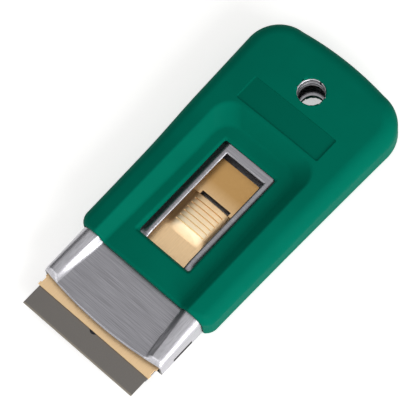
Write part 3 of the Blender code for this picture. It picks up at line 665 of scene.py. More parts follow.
def nickel_plated_steel(tree, finishes):
    """Stamped steel, nickel plated: bright drawn beads beside a cross-brushed panel."""
    panel = add_node(tree, "ShaderNodeAttribute", output="Fac", attribute_name="brushed")
    # Brush lines of about 0.05 mm along X, drawn at 0.16 mm so that they show
    lines, brushed = grain(tree, 0.16 * MM, (0.72, 1.18), stretch=(60, 1, 60), detail=3.0)
    # Draw marks of about 0.1 mm along Y on the beads, drawn at 0.25 mm so that they show
    _, drawn = grain(tree, 0.25 * MM, (0.8, 1.08), stretch=(1, 50, 1), detail=3.0)
    plating = layered(tree, tone(finishes.nickel), (panel, tone(finishes.brushed)))
    marks = layered(tree, drawn, (panel, brushed))
    marked = {MIX_SHARE: 1.0, MIX_UNDER: plating, MIX_OVER: marks}
    rough = {"Value": panel, "To Min": POLISHED_ROUGHNESS, "To Max": BRUSHED_ROUGHNESS}
    height = add_node(tree, "ShaderNodeMath", {0: lines, 1: panel}, operation="MULTIPLY")
    bump = {"Strength": 0.5, "Distance": 0.01 * MM, "Height": height}
    return {
        "Base Color": add_node(
            tree, "ShaderNodeMix", marked, MIX_RESULT, data_type="RGBA", blend_type="MULTIPLY"
        ),
        "Roughness": add_node(tree, "ShaderNodeMapRange", rough),
        "Normal": add_node(tree, "ShaderNodeBump", bump),
        "Metallic": 1.0,
    }


def sheared_steel(tree, finishes):
    """The sheared edge of stamped sheet: bare, torn and dark."""
    # Tear marks of about 0.1 mm, upright in the cut face
    _, marks = grain(tree, 0.1 * MM, (0, 1), stretch=(1, 1, 6), detail=3.0)
    torn = layered(tree, tone(finishes.sheared, 0.7), (marks, tone(finishes.sheared)))
    return {"Base Color": torn, "Roughness": 0.5, "Metallic": 1.0}


def brass_plated_steel(tree, finishes):
    """Cold-rolled sheet, brass plated: warm, soft gloss, with rolling lines along it."""
    # Rolling lines of about 0.05 mm along Y, drawn at 0.2 mm so that they show
    lines, rolled = grain(tree, 0.2 * MM, (0, 1), stretch=(1, 25, 1), detail=3.0)
    # Painted shade: behind the rest, the plating is painted darker towards the rear
    along = place_along(tree)
    inputs = {"Value": along, "From Min": REAR_SHADE_START, "From Max": REAR_SHADE_END}
    rear_shaded = add_node(tree, "ShaderNodeMapRange", inputs)
    # Painted highlight: the ribs are painted pale, most of all at the front of the rest
    ribs = add_node(tree, "ShaderNodeAttribute", output="Fac", attribute_name="rib_share")
    inputs = {"Value": along, "From Min": RIB_HIGHLIGHT_START, "From Max": RIB_HIGHLIGHT_END}
    highlight_fade = add_node(tree, "ShaderNodeMapRange", inputs)
    rib_highlight = add_node(
        tree, "ShaderNodeMath", {0: ribs, 1: highlight_fade}, operation="SUBTRACT", use_clamp=True
    )
    plating = layered(
        tree,
        tone(finishes.brass, 0.9),
        (rolled, tone(finishes.brass)),
        (rear_shaded, tone(finishes.rear_shade)),
        (rib_highlight, tone(finishes.rib_highlight)),
    )
    _, rough = grain(tree, 0.8 * MM, (0.40, 0.48))
    bump = {"Strength": 0.3, "Distance": 0.006 * MM, "Height": lines}
    return {
        "Base Color": plating,
        "Roughness": rough,
        "Normal": add_node(tree, "ShaderNodeBump", bump),
        "Metallic": 1.0,
    }


def ground_carbon_steel(tree, finishes):
    """Hardened carbon steel strip: dull dark faces and a ground bevel, lighter from its grinding,
    with a warm brown tint that is a painted reflection of the shaded floor.
    """
    bevel = bpy.context.scene.scraper_fittings.blade_bevel
    inputs = {
        "Value": place_along(tree),
        "From Min": BLADE_LOW.y + bevel * (1 - GROUND_BLEND),
        "From Max": BLADE_LOW.y + bevel * (1 + GROUND_BLEND),
        "To Min": 1.0,
        "To Max": 0.0,
    }
    edge = add_node(tree, "ShaderNodeMapRange", inputs)
    # Strip surface of about 0.05 mm grain, drawn at 0.25 mm so that it shows
    _, speckle, rough = grain(tree, 0.25 * MM, (0, 1), (0.38, 0.5), detail=4.0)
    # The ground bevel's warm brown tint is a painted reflection of the shade under the blade
    steel = layered(
        tree,
        tone(finishes.carbon, 0.85),
        (speckle, tone(finishes.carbon)),
        (edge, tone(finishes.ground)),
    )
    return {"Base Color": steel, "Roughness": rough, "Metallic": 1.0}


def rolled_spring_steel(tree, finishes):
    """Rolled spring steel: plain grey strip with fine rolling lines."""
    # Rolling lines of about 0.05 mm along Y, drawn at 0.15 mm so that they show
    _, lines, rough = grain(
        tree, 0.15 * MM, (0, 1), (0.25, 0.4), stretch=(1, 30, 1), detail=3.0
    )
    strip = layered(tree, tone(finishes.spring, 0.8), (lines, tone(finishes.spring)))
    return {"Base Color": strip, "Roughness": rough, "Metallic": 1.0}


def shade_black_spring_steel(tree, finishes):
    """Spring steel painted nearly black as painted shade, so that the blade's hole shows dark, with
    a dull gloss.
    """
    _, cloud = grain(tree, 0.6 * MM, (0, 1))
    shade_tone = layered(tree, tone(finishes.clamp_shade, 0.6), (cloud, tone(finishes.clamp_shade)))
    return {"Base Color": shade_tone, "Roughness": 0.45, "Metallic": 1.0}


# Skin of the sleeve, drawn where a distance function is zero


def meet(a, b, radius):
    """The overlap of two shapes given by distances, with the edge between them rounded."""
    corner = np.hypot(np.maximum(a + radius, 0), np.maximum(b + radius, 0))
    return np.minimum(np.maximum(a, b), -radius) + corner


def grid_lines(low, high, zones):
    """Grid lines with fine steps in and near each zone, and coarse ones elsewhere."""
    lines = [low]
    while lines[-1] < high:
        here = lines[-1]
        steps = [
            step + GRID_GROWTH_SHARE * max(start - here, here - stop, 0)
            for start, stop, step in zones
        ]
        lines.append(here + min([*steps, GRID_COARSE]))
    return np.array(lines)


def slope(distance, points):
    """The gradient of a distance function at some points."""
    columns = []
    for axis in range(3):
        step = np.zeros(3)
        step[axis] = SLOPE_STEP
        rise = distance(*(points + step).T) - distance(*(points - step).T)
        columns.append(rise / (2 * SLOPE_STEP))
    return np.stack(columns, axis=1)


def skin(distance, lines):
    """Points, faces and normals of the surface where a distance function is zero."""
    inside = distance(*np.meshgrid(*lines, indexing="ij")) < 0
    count = sum(
        inside[i:i - 1 or None, j:j - 1 or None, k:k - 1 or None].astype(int)
        for i, j, k in np.ndindex(2, 2, 2)
    )
    crossed = (count > 0) & (count < 8)
    number = np.full(crossed.shape, -1)
    number[crossed] = np.arange(crossed.sum())
    cells = np.argwhere(crossed)
    low = np.stack([lines[a][cells[:, a]] for a in range(3)], axis=1)
    high = np.stack([lines[a][cells[:, a] + 1] for a in range(3)], axis=1)
    points = (low + high) / 2
    slack = (high - low) * CELL_SLACK
    for _ in range(SETTLE_STEPS):
        gradient = slope(distance, points)
        steep = np.maximum((gradient ** 2).sum(axis=1), LEAST_SLOPE ** 2)
        points -= gradient * (distance(*points.T) / steep)[:, None]
        points = np.clip(points, low - slack, high + slack)
    faces = []
    for axis in range(3):
        corner = np.moveaxis(inside, axis, 0)
        cell = np.moveaxis(number, axis, 0)
        near = corner[:-1, 1:-1, 1:-1]
        far = corner[1:, 1:-1, 1:-1]
        around = [cell[:, :-1, :-1], cell[:, 1:, :-1], cell[:, 1:, 1:], cell[:, :-1, 1:]]
        quads = np.stack(around, axis=-1)
        outward = (near & ~far, far & ~near)
        # With Y taken first, X and Z change hands, and the faces would look inwards
        if axis == 1:
            outward = outward[::-1]
        faces += [quads[outward[0]], quads[outward[1]][:, ::-1]]
    gradient = slope(distance, points)
    normals = gradient / np.linalg.norm(gradient, axis=1)[:, None]
    return points, np.concatenate(faces), normals


def bead_rise(sizes, behind):
    """Height of the housing's side beads this far behind its mouth."""
    start = sizes.bead_height * sizes.bead_start_share * eased(behind / sizes.bead_start)
    climb = sizes.bead_height * (1 - sizes.bead_start_share)
    return start + climb * np.clip(behind / sizes.bead_runout, 0, 1)


def mouth(sizes):
    """Y of the housing's front corners."""
    return SHELL_LOW.y + sizes.lip_bow


def bead_foot(sizes, behind):
    """Half the width between the feet of the side beads, this far behind the mouth."""
    width = between(sizes.bead_front, sizes.bead_rear, behind / sizes.bead_runout)
    return SHELL_HIGH.x - width


def panel_top(sizes):
    """Height of the housing's sunk panel."""
    return SHELL_HIGH.z - sizes.bead_height


def cavity_distance(housing, x, y, z):
    """Distance to the room for the housing inside the sleeve."""
    behind = y - mouth(housing)
    rise = bead_rise(housing, behind)
    crest = panel_top(housing) + rise + SEAT_GAP
    dip = rise * (1 - eased((behind - housing.panel_length) / housing.panel_ramp))
    foot = bead_foot(housing, behind) - SEAT_GAP
    share = np.clip((np.abs(x) - foot) / housing.bead_wall, 0, 1)
    # The slope of the eased wall, by which its height becomes a distance
    lean = dip * 6 * share * (1 - share) / housing.bead_wall
    ceiling = (z - crest + dip * (1 - eased(share))) / np.hypot(1, lean)
    wall = np.abs(x) - SHELL_HIGH.x - SEAT_GAP
    section = meet(wall, ceiling, housing.shoulder + SEAT_GAP)
    section = meet(section, SHELL_LOW.z - SEAT_GAP - z, housing.fold)
    return np.maximum(section, y - SHELL_HIGH.y - SEAT_GAP)


def flattening(sizes, y):
    """How far the arch of the sleeve's front has faded at this place, from nought to one."""
    return eased((y - SLEEVE_LOW.y - sizes.crown_start) / sizes.crown_fade)


def top_height(sizes, x, y):
    """Height of the sleeve's top, which rises to the rear and arches from side to side."""
    share = (y - SLEEVE_LOW.y) / (SLEEVE_HIGH.y - SLEEVE_LOW.y)
    rim = SLEEVE_HIGH.z - sizes.crown_rear - sizes.rise * (1 - share)
    crown = between(sizes.crown, sizes.crown_rear, flattening(sizes, y))
    return rim + crown * (1 - (x / sizes.crown_side) ** 2)


def floor_heights(sizes, panel, x, y):
    """Heights of the trough's floor, which arches, on its middle line and at this place."""
    share = (y - SLEEVE_LOW.y) / sizes.trough_length
    middle = panel + between(sizes.trough_front, sizes.trough_rear, share)
    arch = sizes.floor_crown - sizes.floor_fall * (x / sizes.trough_side) ** 2
    return middle, middle + arch * (1 - flattening(sizes, y))


def trough_distance(sizes, panel, x, y, z):
    """Distance to the trough's hollow, whose sides and rear lean outwards."""
    middle, floor = floor_heights(sizes, panel, x, y)
    climb = z - middle
    along = (y - SLEEVE_LOW.y) / (sizes.trough_length - sizes.trough_corner)
    side = np.abs(x) - sizes.trough_side + sizes.trough_taper * np.clip(along, 0, 1) - climb
    rear = y - SLEEVE_LOW.y - sizes.trough_length - climb * sizes.trough_lean
    # Walls that lean by 45 degrees are nearer than the run out to them
    outline = meet(side, rear, sizes.trough_corner) * math.sqrt(0.5)
    return meet(outline, floor - z, sizes.trough_foot)


def undercut_height(sizes, y):
    """Height of the relief under the cut-out's rim, which falls to the rear."""
    share = (y - SLEEVE_LOW.y - sizes.cutout_start) / sizes.cutout_length
    return between(sizes.undercut_front, sizes.undercut_rear, share)


def cutout_distance(sizes, panel, x, y, z):
    """Distance to the cut-out over the window, whose walls lean outwards."""
    half = sizes.cutout_length / 2
    climb = np.maximum(z - panel - undercut_height(sizes, y), 0)
    past = y - SLEEVE_LOW.y - sizes.cutout_start - half
    along = np.maximum(-past - sizes.cutout_lean * climb, past - sizes.cutout_rear_lean * climb)
    side = np.abs(x - sizes.cutout_shift) - sizes.cutout_side - sizes.cutout_lean * climb
    return meet(side, along - half, sizes.cutout_corner)


def undercut_distance(sizes, panel, x, y, z):
    """Distance to the relief under the cut-out's rim."""
    half = sizes.cutout_length / 2
    past = y - SLEEVE_LOW.y - sizes.cutout_start - half
    along = np.maximum(sizes.cutout_corner - past, past - sizes.undercut) - half
    relief = np.maximum(np.abs(x) - sizes.cutout_side - sizes.undercut, along)
    return np.maximum(relief, z - panel - undercut_height(sizes, y))


def label_distance(sizes, x, y, z):
    """Distance to the bare recess in the sleeve's top."""
    half = sizes.label_length / 2
    along = np.abs(y - SLEEVE_HIGH.y + sizes.label_from_rear + half) - half
    label = meet(np.abs(x) - sizes.label_width / 2, along, sizes.label_corner)
    return meet(label, top_height(sizes, x, y) - sizes.label_depth - z, CRISP_RADIUS)


def sleeve_distance(sizes, housing, x, y, z):
    """Distance to the sleeve's surface, below zero inside it."""
    across = np.abs(x)
    front = SLEEVE_LOW.y
    rear = SLEEVE_HIGH.y
    panel = panel_top(housing)
    flare_length = rear - front - sizes.rear_bow - sizes.corner_radius
    flared = np.clip((y - front) / flare_length, 0, 1) ** sizes.flare_curve
    side = SLEEVE_HIGH.x - sizes.flare * (1 - flared)
    bow = sizes.rear_bow * np.minimum(across / (SLEEVE_HIGH.x - sizes.corner_radius), 1) ** 2
    body = meet(across - side, y - rear + bow, sizes.corner_radius)
    edge = between(sizes.top_edge_front, sizes.top_edge, (y - front) / (rear - front))
    body = meet(body, z - top_height(sizes, x, y), edge)
    body = meet(body, SLEEVE_LOW.z - z, sizes.back_edge)
    body = meet(body, -trough_distance(sizes, panel, x, y, z), sizes.trough_edge)
    # The cut-out and its relief end inside the room for the housing
    ended = panel - MM - z
    cutout = np.maximum(cutout_distance(sizes, panel, x, y, z), ended)
    body = meet(body, -cutout, sizes.cutout_edge)
    body = meet(body, -label_distance(sizes, x, y, z), CRISP_RADIUS)
    reach = np.hypot(x, y - HOLE_PLACE)
    body = meet(body, sizes.hole - reach, sizes.hole_edge)
    corner_share = eased((across - side + sizes.front_corner_reach) / sizes.front_corner_reach)
    body = meet(body, front - y, between(sizes.front_edge, sizes.front_corner, corner_share))
    body = meet(body, -cavity_distance(housing, x, y, z), CRISP_RADIUS)
    relief = np.maximum(undercut_distance(sizes, panel, x, y, z), ended)
    body = meet(body, -relief, CRISP_RADIUS)
    seat = np.maximum(
        reach - COLLAR_HIGH.x - SEAT_GAP, np.abs(z - COLLAR_LOW.z) - COLLAR_HIGH.z + COLLAR_LOW.z
    )
    return np.maximum(body, -seat)


def sleeve_grid(sizes, housing):
    """Grid lines along X, Y and Z, fine where the sleeve's form turns."""
    side = SLEEVE_HIGH.x
    front = SLEEVE_LOW.y
    rear = SLEEVE_HIGH.y
    trough_top = sizes.trough_side + sizes.trough_rear * 2
    half = grid_lines(0, side + MM, [
        (sizes.cutout_side + sizes.cutout_shift, sizes.cutout_side + MM, GRID_RIM),
        (sizes.trough_side - sizes.trough_taper - sizes.trough_foot, trough_top, GRID_WALL),
        (sizes.label_width / 2, sizes.label_width / 2, GRID_FINE),
        (side - sizes.top_edge - sizes.flare, side, GRID_MEDIUM),
    ])
    label = rear - sizes.label_from_rear
    cutout = front + sizes.cutout_start
    cutout_end = cutout + sizes.cutout_length
    trough_end = front + sizes.trough_length
    near_hole = sizes.hole * HOLE_MARGIN
    along = grid_lines(front - MM, rear + MM, [
        (front, front + sizes.front_edge, GRID_EDGE),
        (front, front + sizes.front_corner, GRID_MEDIUM),
        (cutout - MM, cutout, GRID_EDGE),
        (cutout_end, cutout_end + MM, GRID_EDGE),
        (trough_end - sizes.trough_corner, trough_end + sizes.trough_corner, GRID_MEDIUM),
        (label - sizes.label_length, label - sizes.label_length, GRID_FINE),
        (label, label, GRID_FINE),
        (HOLE_PLACE - near_hole, HOLE_PLACE + near_hole, GRID_CURVE),
        (rear - sizes.top_edge, rear, GRID_MEDIUM),
    ])
    panel = panel_top(housing)
    upright = grid_lines(SLEEVE_LOW.z - MM, SLEEVE_HIGH.z + MM, [
        (SLEEVE_LOW.z, SLEEVE_LOW.z + sizes.back_edge, GRID_BASE),
        (panel, panel + sizes.trough_front + sizes.trough_foot, GRID_EDGE),
        (SLEEVE_HIGH.z - sizes.top_edge, SLEEVE_HIGH.z, GRID_CURVE),
        (SLEEVE_HIGH.z - sizes.rise, SLEEVE_HIGH.z, GRID_FINE),
    ])
    return np.concatenate([-half[:0:-1], half]), along, upright


# Housing shell


def rim_rise(sizes, x, behind):
    """Height of the window's rim over the panel at this place.

    Its inner edge rolls down, and past its outer foot the panel is sunk.
    """
    window_end = sizes.window_start + sizes.window_length
    started = eased((behind - sizes.window_start) / sizes.rim_start)
    ended = eased((window_end + sizes.rim_end - behind) * 2 / sizes.rim_run)
    fallen = eased((x - sizes.window_side - sizes.roll - sizes.rim_flat) / sizes.rim_run)
    away = max(x - sizes.window_side, sizes.window_start - behind, behind - window_end, 0)
    rolled = max(sizes.roll - away, 0)
    rise = sizes.rim_height - (sizes.rim_height + sizes.rim_sink) * fallen
    return float(started * ended * rise) - rolled


def shell_half_row(sizes, behind):
    """Points of the shell's outer face at one station, from its middle to its turned lip."""
    rise = float(bead_rise(sizes, behind))
    # The edge of the mouth rolls down
    crest = panel_top(sizes) + rise - max(sizes.roll - behind, 0)
    ramp = float(eased((behind - sizes.panel_length) / sizes.panel_ramp))
    panel = crest - rise * (1 - ramp)
    side = SHELL_HIGH.x
    foot = float(bead_foot(sizes, behind))
    shoulder = float(between(sizes.lip_shoulder, sizes.shoulder, rise / sizes.bead_height))
    edge = sizes.window_side + sizes.roll
    flat = ordered([
        *spread(0, sizes.window_side, WINDOW_STEPS),
        *spread(sizes.window_side, edge, ROLL_STEPS),
        *spread(edge, edge + sizes.rim_flat + sizes.rim_run, RIM_STEPS),
        sizes.slot_in,
        sizes.slot_out,
        (sizes.slot_out + foot) / 2,
    ])
    points = [(x, panel + rim_rise(sizes, x, behind)) for x in flat]
    for share in spread(0, 1, CURVE_STEPS):
        points.append((foot + sizes.bead_wall * share, float(between(panel, crest, eased(share)))))
    points += arc((side - shoulder, crest - shoulder), shoulder, 90, -90, CURVE_STEPS)
    slot = SHELL_LOW.z + sizes.side_slot_low
    points += [(side, slot + sizes.side_slot_height), (side, slot)]
    points += arc((side - sizes.fold, SHELL_LOW.z + sizes.fold), sizes.fold, 0, -90, FOLD_STEPS)
    points.append((side - sizes.turned_lip, SHELL_LOW.z))
    return points


def lip_bow(sizes, x, z, behind):
    """How far the top's front lip bows out ahead of its corners."""
    height = float(eased((z - panel_top(sizes) + sizes.shoulder) / sizes.lip_shoulder))
    share = max(1 - (x / SHELL_HIGH.x) ** 2, 0) * height
    return sizes.lip_bow * share * float(between(1, 0, behind / sizes.lip_bow_fade))


def shell_rows(sizes):
    """The whole outer face of the shell, row by row from its mouth to its rear."""
    slot_start = sizes.side_slot_start
    window = sizes.window_start
    window_end = window + sizes.window_length
    rim_full = window + sizes.rim_start
    rim_end = window_end + sizes.rim_end
    stations = [
        *spread(0, sizes.bead_start, LONG_STEPS),
        *spread(sizes.bead_start, slot_start, SHORT_STEPS),
        *spread(slot_start, slot_start + sizes.side_slot_length, SHORT_STEPS),
        sizes.bead_runout,
        *spread(window - 2 * sizes.roll, window, SHORT_STEPS),
        *spread(window, rim_full, RIM_RISE_STEPS),
        *spread(rim_full, window_end, LONG_STEPS),
        *spread(window_end, window_end + 2 * sizes.roll, SHORT_STEPS),
        *spread(rim_end - sizes.rim_run / 2, rim_end, RIM_FALL_STEPS),
        *spread(sizes.panel_length, sizes.panel_length + sizes.panel_ramp, LONG_STEPS),
        SHELL_HIGH.y - mouth(sizes),
    ]
    for travel in LOCK_TRAVELS:
        middle = sizes.slot_work + travel
        stations += [middle - sizes.slot_length / 2, middle + sizes.slot_length / 2]
    rows = []
    for behind in ordered(stations):
        place = mouth(sizes) + behind
        right = [
            Vector((x, place - lip_bow(sizes, x, z, behind), z))
            for x, z in shell_half_row(sizes, behind)
        ]
        left = [Vector((-p.x, p.y, p.z)) for p in reversed(right[1:])]
        rows.append(left + right)
    return rows


def shell_is_open(sizes, middle):
    """Whether this place on the shell lies in its window or in a slot."""
    behind = middle.y - mouth(sizes)
    across = abs(middle.x)
    if middle.z > panel_top(sizes) - SEAT_GAP:
        past = behind - sizes.window_start
        if across < sizes.window_side and 0 < past < sizes.window_length:
            return True
        if sizes.slot_in < across < sizes.slot_out:
            return any(
                abs(behind - sizes.slot_work - travel) < sizes.slot_length / 2
                for travel in LOCK_TRAVELS
            )
        return False
    past = behind - sizes.side_slot_start
    lift = middle.z - SHELL_LOW.z - sizes.side_slot_low
    return 0 < past < sizes.side_slot_length and 0 < lift < sizes.side_slot_height


def mark_recess(piece, sizes):
    """Marks which points of the sleeve lie on the floor of its bare recess."""
    spot = np.array([point.co for point in piece.data.vertices])
    mark(piece, "recess", (label_distance(sizes, *spot.T) < CRISP_RADIUS).astype(float))


def mark_brushed(piece, sizes):
    """Marks which points of the shell lie on its brushed panel."""
    values = []
    for x, y, z in (point.co for point in piece.data.vertices):
        foot = bead_foot(sizes, y - mouth(sizes))
        flat = z > panel_top(sizes) - sizes.sheet / 2
        values.append(float(flat and abs(x) < foot + SHEET_GAP))
    mark(piece, "brushed", values)


def open_hole(piece, radius, x, y):
    """Cuts an upright round hole through a piece."""
    cutter = new_piece("hole_cutter", piece.data.materials[0])
    depth = CAD_BOX[1].z * 2
    with editing(cutter.data) as shape:
        bmesh.ops.create_cone(
            shape, cap_ends=True, segments=HOLE_STEPS, radius1=radius, radius2=radius, depth=depth
        )
        bmesh.ops.translate(shape, verts=shape.verts, vec=(x, y, 0))
    boolean = piece.modifiers.new("hole", "BOOLEAN")
    boolean.operation = "DIFFERENCE"
    boolean.solver = "EXACT"
    boolean.object = cutter
    settle(piece)
    bpy.data.objects.remove(cutter, do_unlink=True)


def draw_hole(piece, radius, wall, low, high, edge):
    """Opens the hanging hole in a sheet, with the wall that is drawn round it."""
    material = piece.data.materials[0]
    open_hole(piece, radius + wall, 0, HOLE_PLACE)
    section = ring_section(radius, radius + wall, low, high, edge)
    join(piece, turned("drawn_wall", section, HOLE_PLACE, 0, 360, HOLE_STEPS, material))


# Blade and holder


def blade_strip(sizes):
    """The blade: a plain strip with a hole, its front ground to an edge."""
    front = BLADE_LOW.y
    rear = BLADE_HIGH.y
    ground = front + sizes.blade_bevel
    middle = (BLADE_LOW.z + BLADE_HIGH.z) / 2
    section = [
        (front, middle - sizes.blade_edge / 2),
        (ground, BLADE_LOW.z),
        (rear, BLADE_LOW.z),
        (rear, BLADE_HIGH.z),
        (ground, BLADE_HIGH.z),
        (front, middle + sizes.blade_edge / 2),
    ]
    blade = prism("blade", BLADE_LOW.x, BLADE_HIGH.x, section, finish(ground_carbon_steel))
    open_hole(blade, sizes.blade_hole, 0, front + sizes.blade_hole_place)
    return blade


def holder_sheet(sizes):
    """The holder: a wide jaw with a notch in each side, a step down and a narrow tail."""
    side = HOLDER_HIGH.x
    notch_end = sizes.notch_start + sizes.notch_length
    jaw_end = sizes.holder_jaw + sizes.holder_step
    drop = sizes.holder_sheet + SHEET_GAP
    stations = (
        (0, 0, side),
        (sizes.notch_start, 0, side),
        (notch_end, 0, side),
        (sizes.holder_jaw, 0, side),
        (jaw_end, 0, sizes.holder_tail),
        (jaw_end + sizes.holder_step, drop, sizes.holder_tail),
        (HOLDER_HIGH.y - HOLDER_LOW.y, drop, sizes.holder_tail),
    )
    inner = 1 - sizes.notch_depth / side
    rows = []
    for ahead, down, width in stations:
        place = Vector((0, HOLDER_LOW.y + ahead, HOLDER_HIGH.z - down))
        rows.append([
            place + Vector((share * width, 0, 0)) for share in (-1, -inner, -0.5, 0, 0.5, inner, 1)
        ])

    def is_notch(middle):
        """Whether this place lies in one of the notches."""
        ahead = middle.y - HOLDER_LOW.y
        return abs(middle.x) > side - sizes.notch_depth and sizes.notch_start < ahead < notch_end

    brass = finish(brass_plated_steel)
    sheet = sheet_piece("holder", rows, sizes.holder_sheet, sizes.sheet_edge, brass, is_notch)
    return settle(sheet)


# Thumb plate


def rest_rise(sizes, ahead):
    """Share of the rest's height at a distance behind the plate's front."""
    past = ahead - sizes.rest_start
    ribs = sizes.rib_count * sizes.rib_pitch
    if past < sizes.ramp + ribs:
        share = float(np.clip(past / sizes.ramp, 0, 1))
        return float(between(share, eased(share), sizes.ramp_ease_share))
    return max(1 - ((past - sizes.ramp - ribs) / sizes.roll) ** 2, 0)


def slit_start(sizes):
    """Where the slit begins, behind the plate's front."""
    return sizes.rest_start + sizes.ramp + sizes.rib_count * sizes.rib_pitch + sizes.roll


def rest_stations(sizes):
    """Distances behind the plate's front at which its rows lie."""
    start = sizes.rest_start
    ribs = start + sizes.ramp
    end = ribs + sizes.rib_count * sizes.rib_pitch
    slit = slit_start(sizes)
    return ordered([
        0,
        start / 2,
        *spread(start, ribs, CURVE_STEPS),
        *spread(ribs, end, sizes.rib_count * RIB_STEPS),
        *spread(end, slit, LONG_STEPS),
        slit + sizes.slit_length,
        sizes.ear_place - sizes.ear_length / 2,
        sizes.ear_place + sizes.ear_length / 2,
        THUMB_HIGH.y - THUMB_LOW.y,
    ])


def rest_rows(sizes):
    """Rows of points on the thumb plate's top, with the depth share of the grooves at each."""
    top = HOLDER_HIGH.z
    sides = (sizes.slit_side, sizes.ear_in, sizes.ear_out, THUMB_HIGH.x)
    half = ordered([*spread(0, sizes.foot_side, ARCH_STEPS), *sides])
    columns = [-x for x in reversed(half[1:])] + half
    rows = []
    shares = []
    for ahead in rest_stations(sizes):
        rise = rest_rise(sizes, ahead)
        arches = [max(1 - (abs(x) / sizes.foot_side) ** sizes.crown_power, 0) for x in columns]
        rows.append([
            Vector((x, THUMB_LOW.y + ahead, top + arch * rise * sizes.height))
            for x, arch in zip(columns, arches)
        ])
        shares += [
            float(eased((sizes.rib_side - abs(x)) / sizes.rib_fade)) * rise for x in columns
        ]
    return rows, shares


def place_key(point):
    """A point's place, rounded so that it can be looked up."""
    return tuple(round(v, PLACE_DIGITS) for v in point)


# Geometry trees


def new_tree(name, inputs, output):
    """An empty geometry tree with named inputs and one output, and the inputs' sockets."""
    tree = bpy.data.node_groups.new(name, "GeometryNodeTree")
    for title, kind in inputs.items():
        tree.interface.new_socket(title, in_out="INPUT", socket_type="NodeSocket" + kind)
    tree.interface.new_socket(output, in_out="OUTPUT", socket_type="NodeSocketGeometry")
    return tree, tree.nodes.new("NodeGroupInput").outputs


def end_tree(tree, shape, material):
    """Ends a geometry tree with real meshes in one finish."""
    real = add_node(tree, "GeometryNodeRealizeInstances", {"Geometry": shape})
    dressed = add_node(tree, "GeometryNodeSetMaterial", {"Geometry": real, "Material": material})
    add_node(tree, "NodeGroupOutput", {0: dressed})
    return tree


def run_tree(piece, tree, values):
    """Puts a geometry tree on a piece, with its named inputs set."""
    modifier = piece.modifiers.new(tree.name, "NODES")
    modifier.node_group = tree
    for item in tree.interface.items_tree:
        if item.in_out == "INPUT" and item.name in values:
            modifier[item.identifier] = values[item.name]


def work_out(tree, values, sums):
    """Adds a formula's Math nodes: each sum names its result, its operation and its terms."""
    for name, operation, *terms in sums:
        inputs = {i: values.get(term, term) for i, term in enumerate(terms)}
        values[name] = add_node(tree, "ShaderNodeMath", inputs, operation=operation)


def rib_tree():
    """Geometry nodes that press the grooves between the ribs of the thumb rest."""
    tree, given = new_tree("pressed_ribs", {
        "Plate": "Geometry",
        "First Groove": "Float",
        "Rib Pitch": "Float",
        "Rib Count": "Int",
        "Rib Round": "Float",
        "Groove Depth": "Float",
        "Groove Width": "Float",
        "Finish": "Material",
    }, "Plate")
    place = add_node(tree, "GeometryNodeInputPosition")
    values = {socket.name: socket for socket in given}
    values["along"] = add_node(tree, "ShaderNodeSeparateXYZ", {0: place}, "Y")
    values["share"] = add_node(
        tree, "GeometryNodeInputNamedAttribute", {"Name": "rib_share"}, data_type="FLOAT"
    )
    # Distances in ribs: from the first groove, from the nearest groove, and half a groove
    work_out(tree, values, (
        ("past", "SUBTRACT", "along", "First Groove"),
        ("ribs", "DIVIDE", "past", "Rib Pitch"),
        ("nearest", "ROUND", "ribs"),
        ("offset", "SUBTRACT", "ribs", "nearest"),
        ("away", "ABSOLUTE", "offset"),
        ("half_width", "MULTIPLY", "Groove Width", 0.5),
        ("half", "DIVIDE", "half_width", "Rib Pitch"),
    ))
    inputs = {"Value": values["away"], "From Max": values["half"]}
    inputs |= {"To Min": values["Groove Depth"], "To Max": 0.0}
    values["groove"] = add_node(
        tree, "ShaderNodeMapRange", inputs, interpolation_type="SMOOTHSTEP"
    )
    # The ribs arch between their grooves, and both end with the last rib
    work_out(tree, values, (
        ("turn", "MULTIPLY", "ribs", math.pi),
        ("swing", "SINE", "turn"),
        ("wave", "ABSOLUTE", "swing"),
        ("fall", "SUBTRACT", 1.0, "wave"),
        ("arch", "MULTIPLY", "fall", "Rib Round"),
        ("lead", "ADD", "ribs", "half"),
        ("started", "GREATER_THAN", "lead", 0.0),
        ("inset", "MULTIPLY", "half", 0.5),
        ("last", "SUBTRACT", "Rib Count", "inset"),
        ("ended", "LESS_THAN", "ribs", "last"),
        ("ribbed", "MULTIPLY", "started", "ended"),
        ("within", "MULTIPLY", "ribbed", -1.0),
        ("depth", "ADD", "groove", "arch"),
        ("shared", "MULTIPLY", "depth", "share"),
        ("shift", "MULTIPLY", "shared", "within"),
    ))
    shift = add_node(tree, "ShaderNodeCombineXYZ", {"Z": values["shift"]})
    moved = add_node(tree, "GeometryNodeSetPosition", {"Geometry": given["Plate"], "Offset": shift})
    return end_tree(tree, moved, given["Finish"])


def rivet_tree():
    """Geometry nodes that set a rivet at evenly spaced places across the tool."""
    tree, given = new_tree("rivet_row", {
        "Rivet": "Geometry",
        "Count": "Int",
        "First": "Vector",
        "Step": "Vector",
        "Finish": "Material",
    }, "Rivets")
    inputs = {"Count": given["Count"], "Start Location": given["First"], "Offset": given["Step"]}
    line = add_node(tree, "GeometryNodeMeshLine", inputs, mode="OFFSET")
    inputs = {"Points": line, "Instance": given["Rivet"]}
    placed = add_node(tree, "GeometryNodeInstanceOnPoints", inputs)
    return end_tree(tree, placed, given["Finish"])


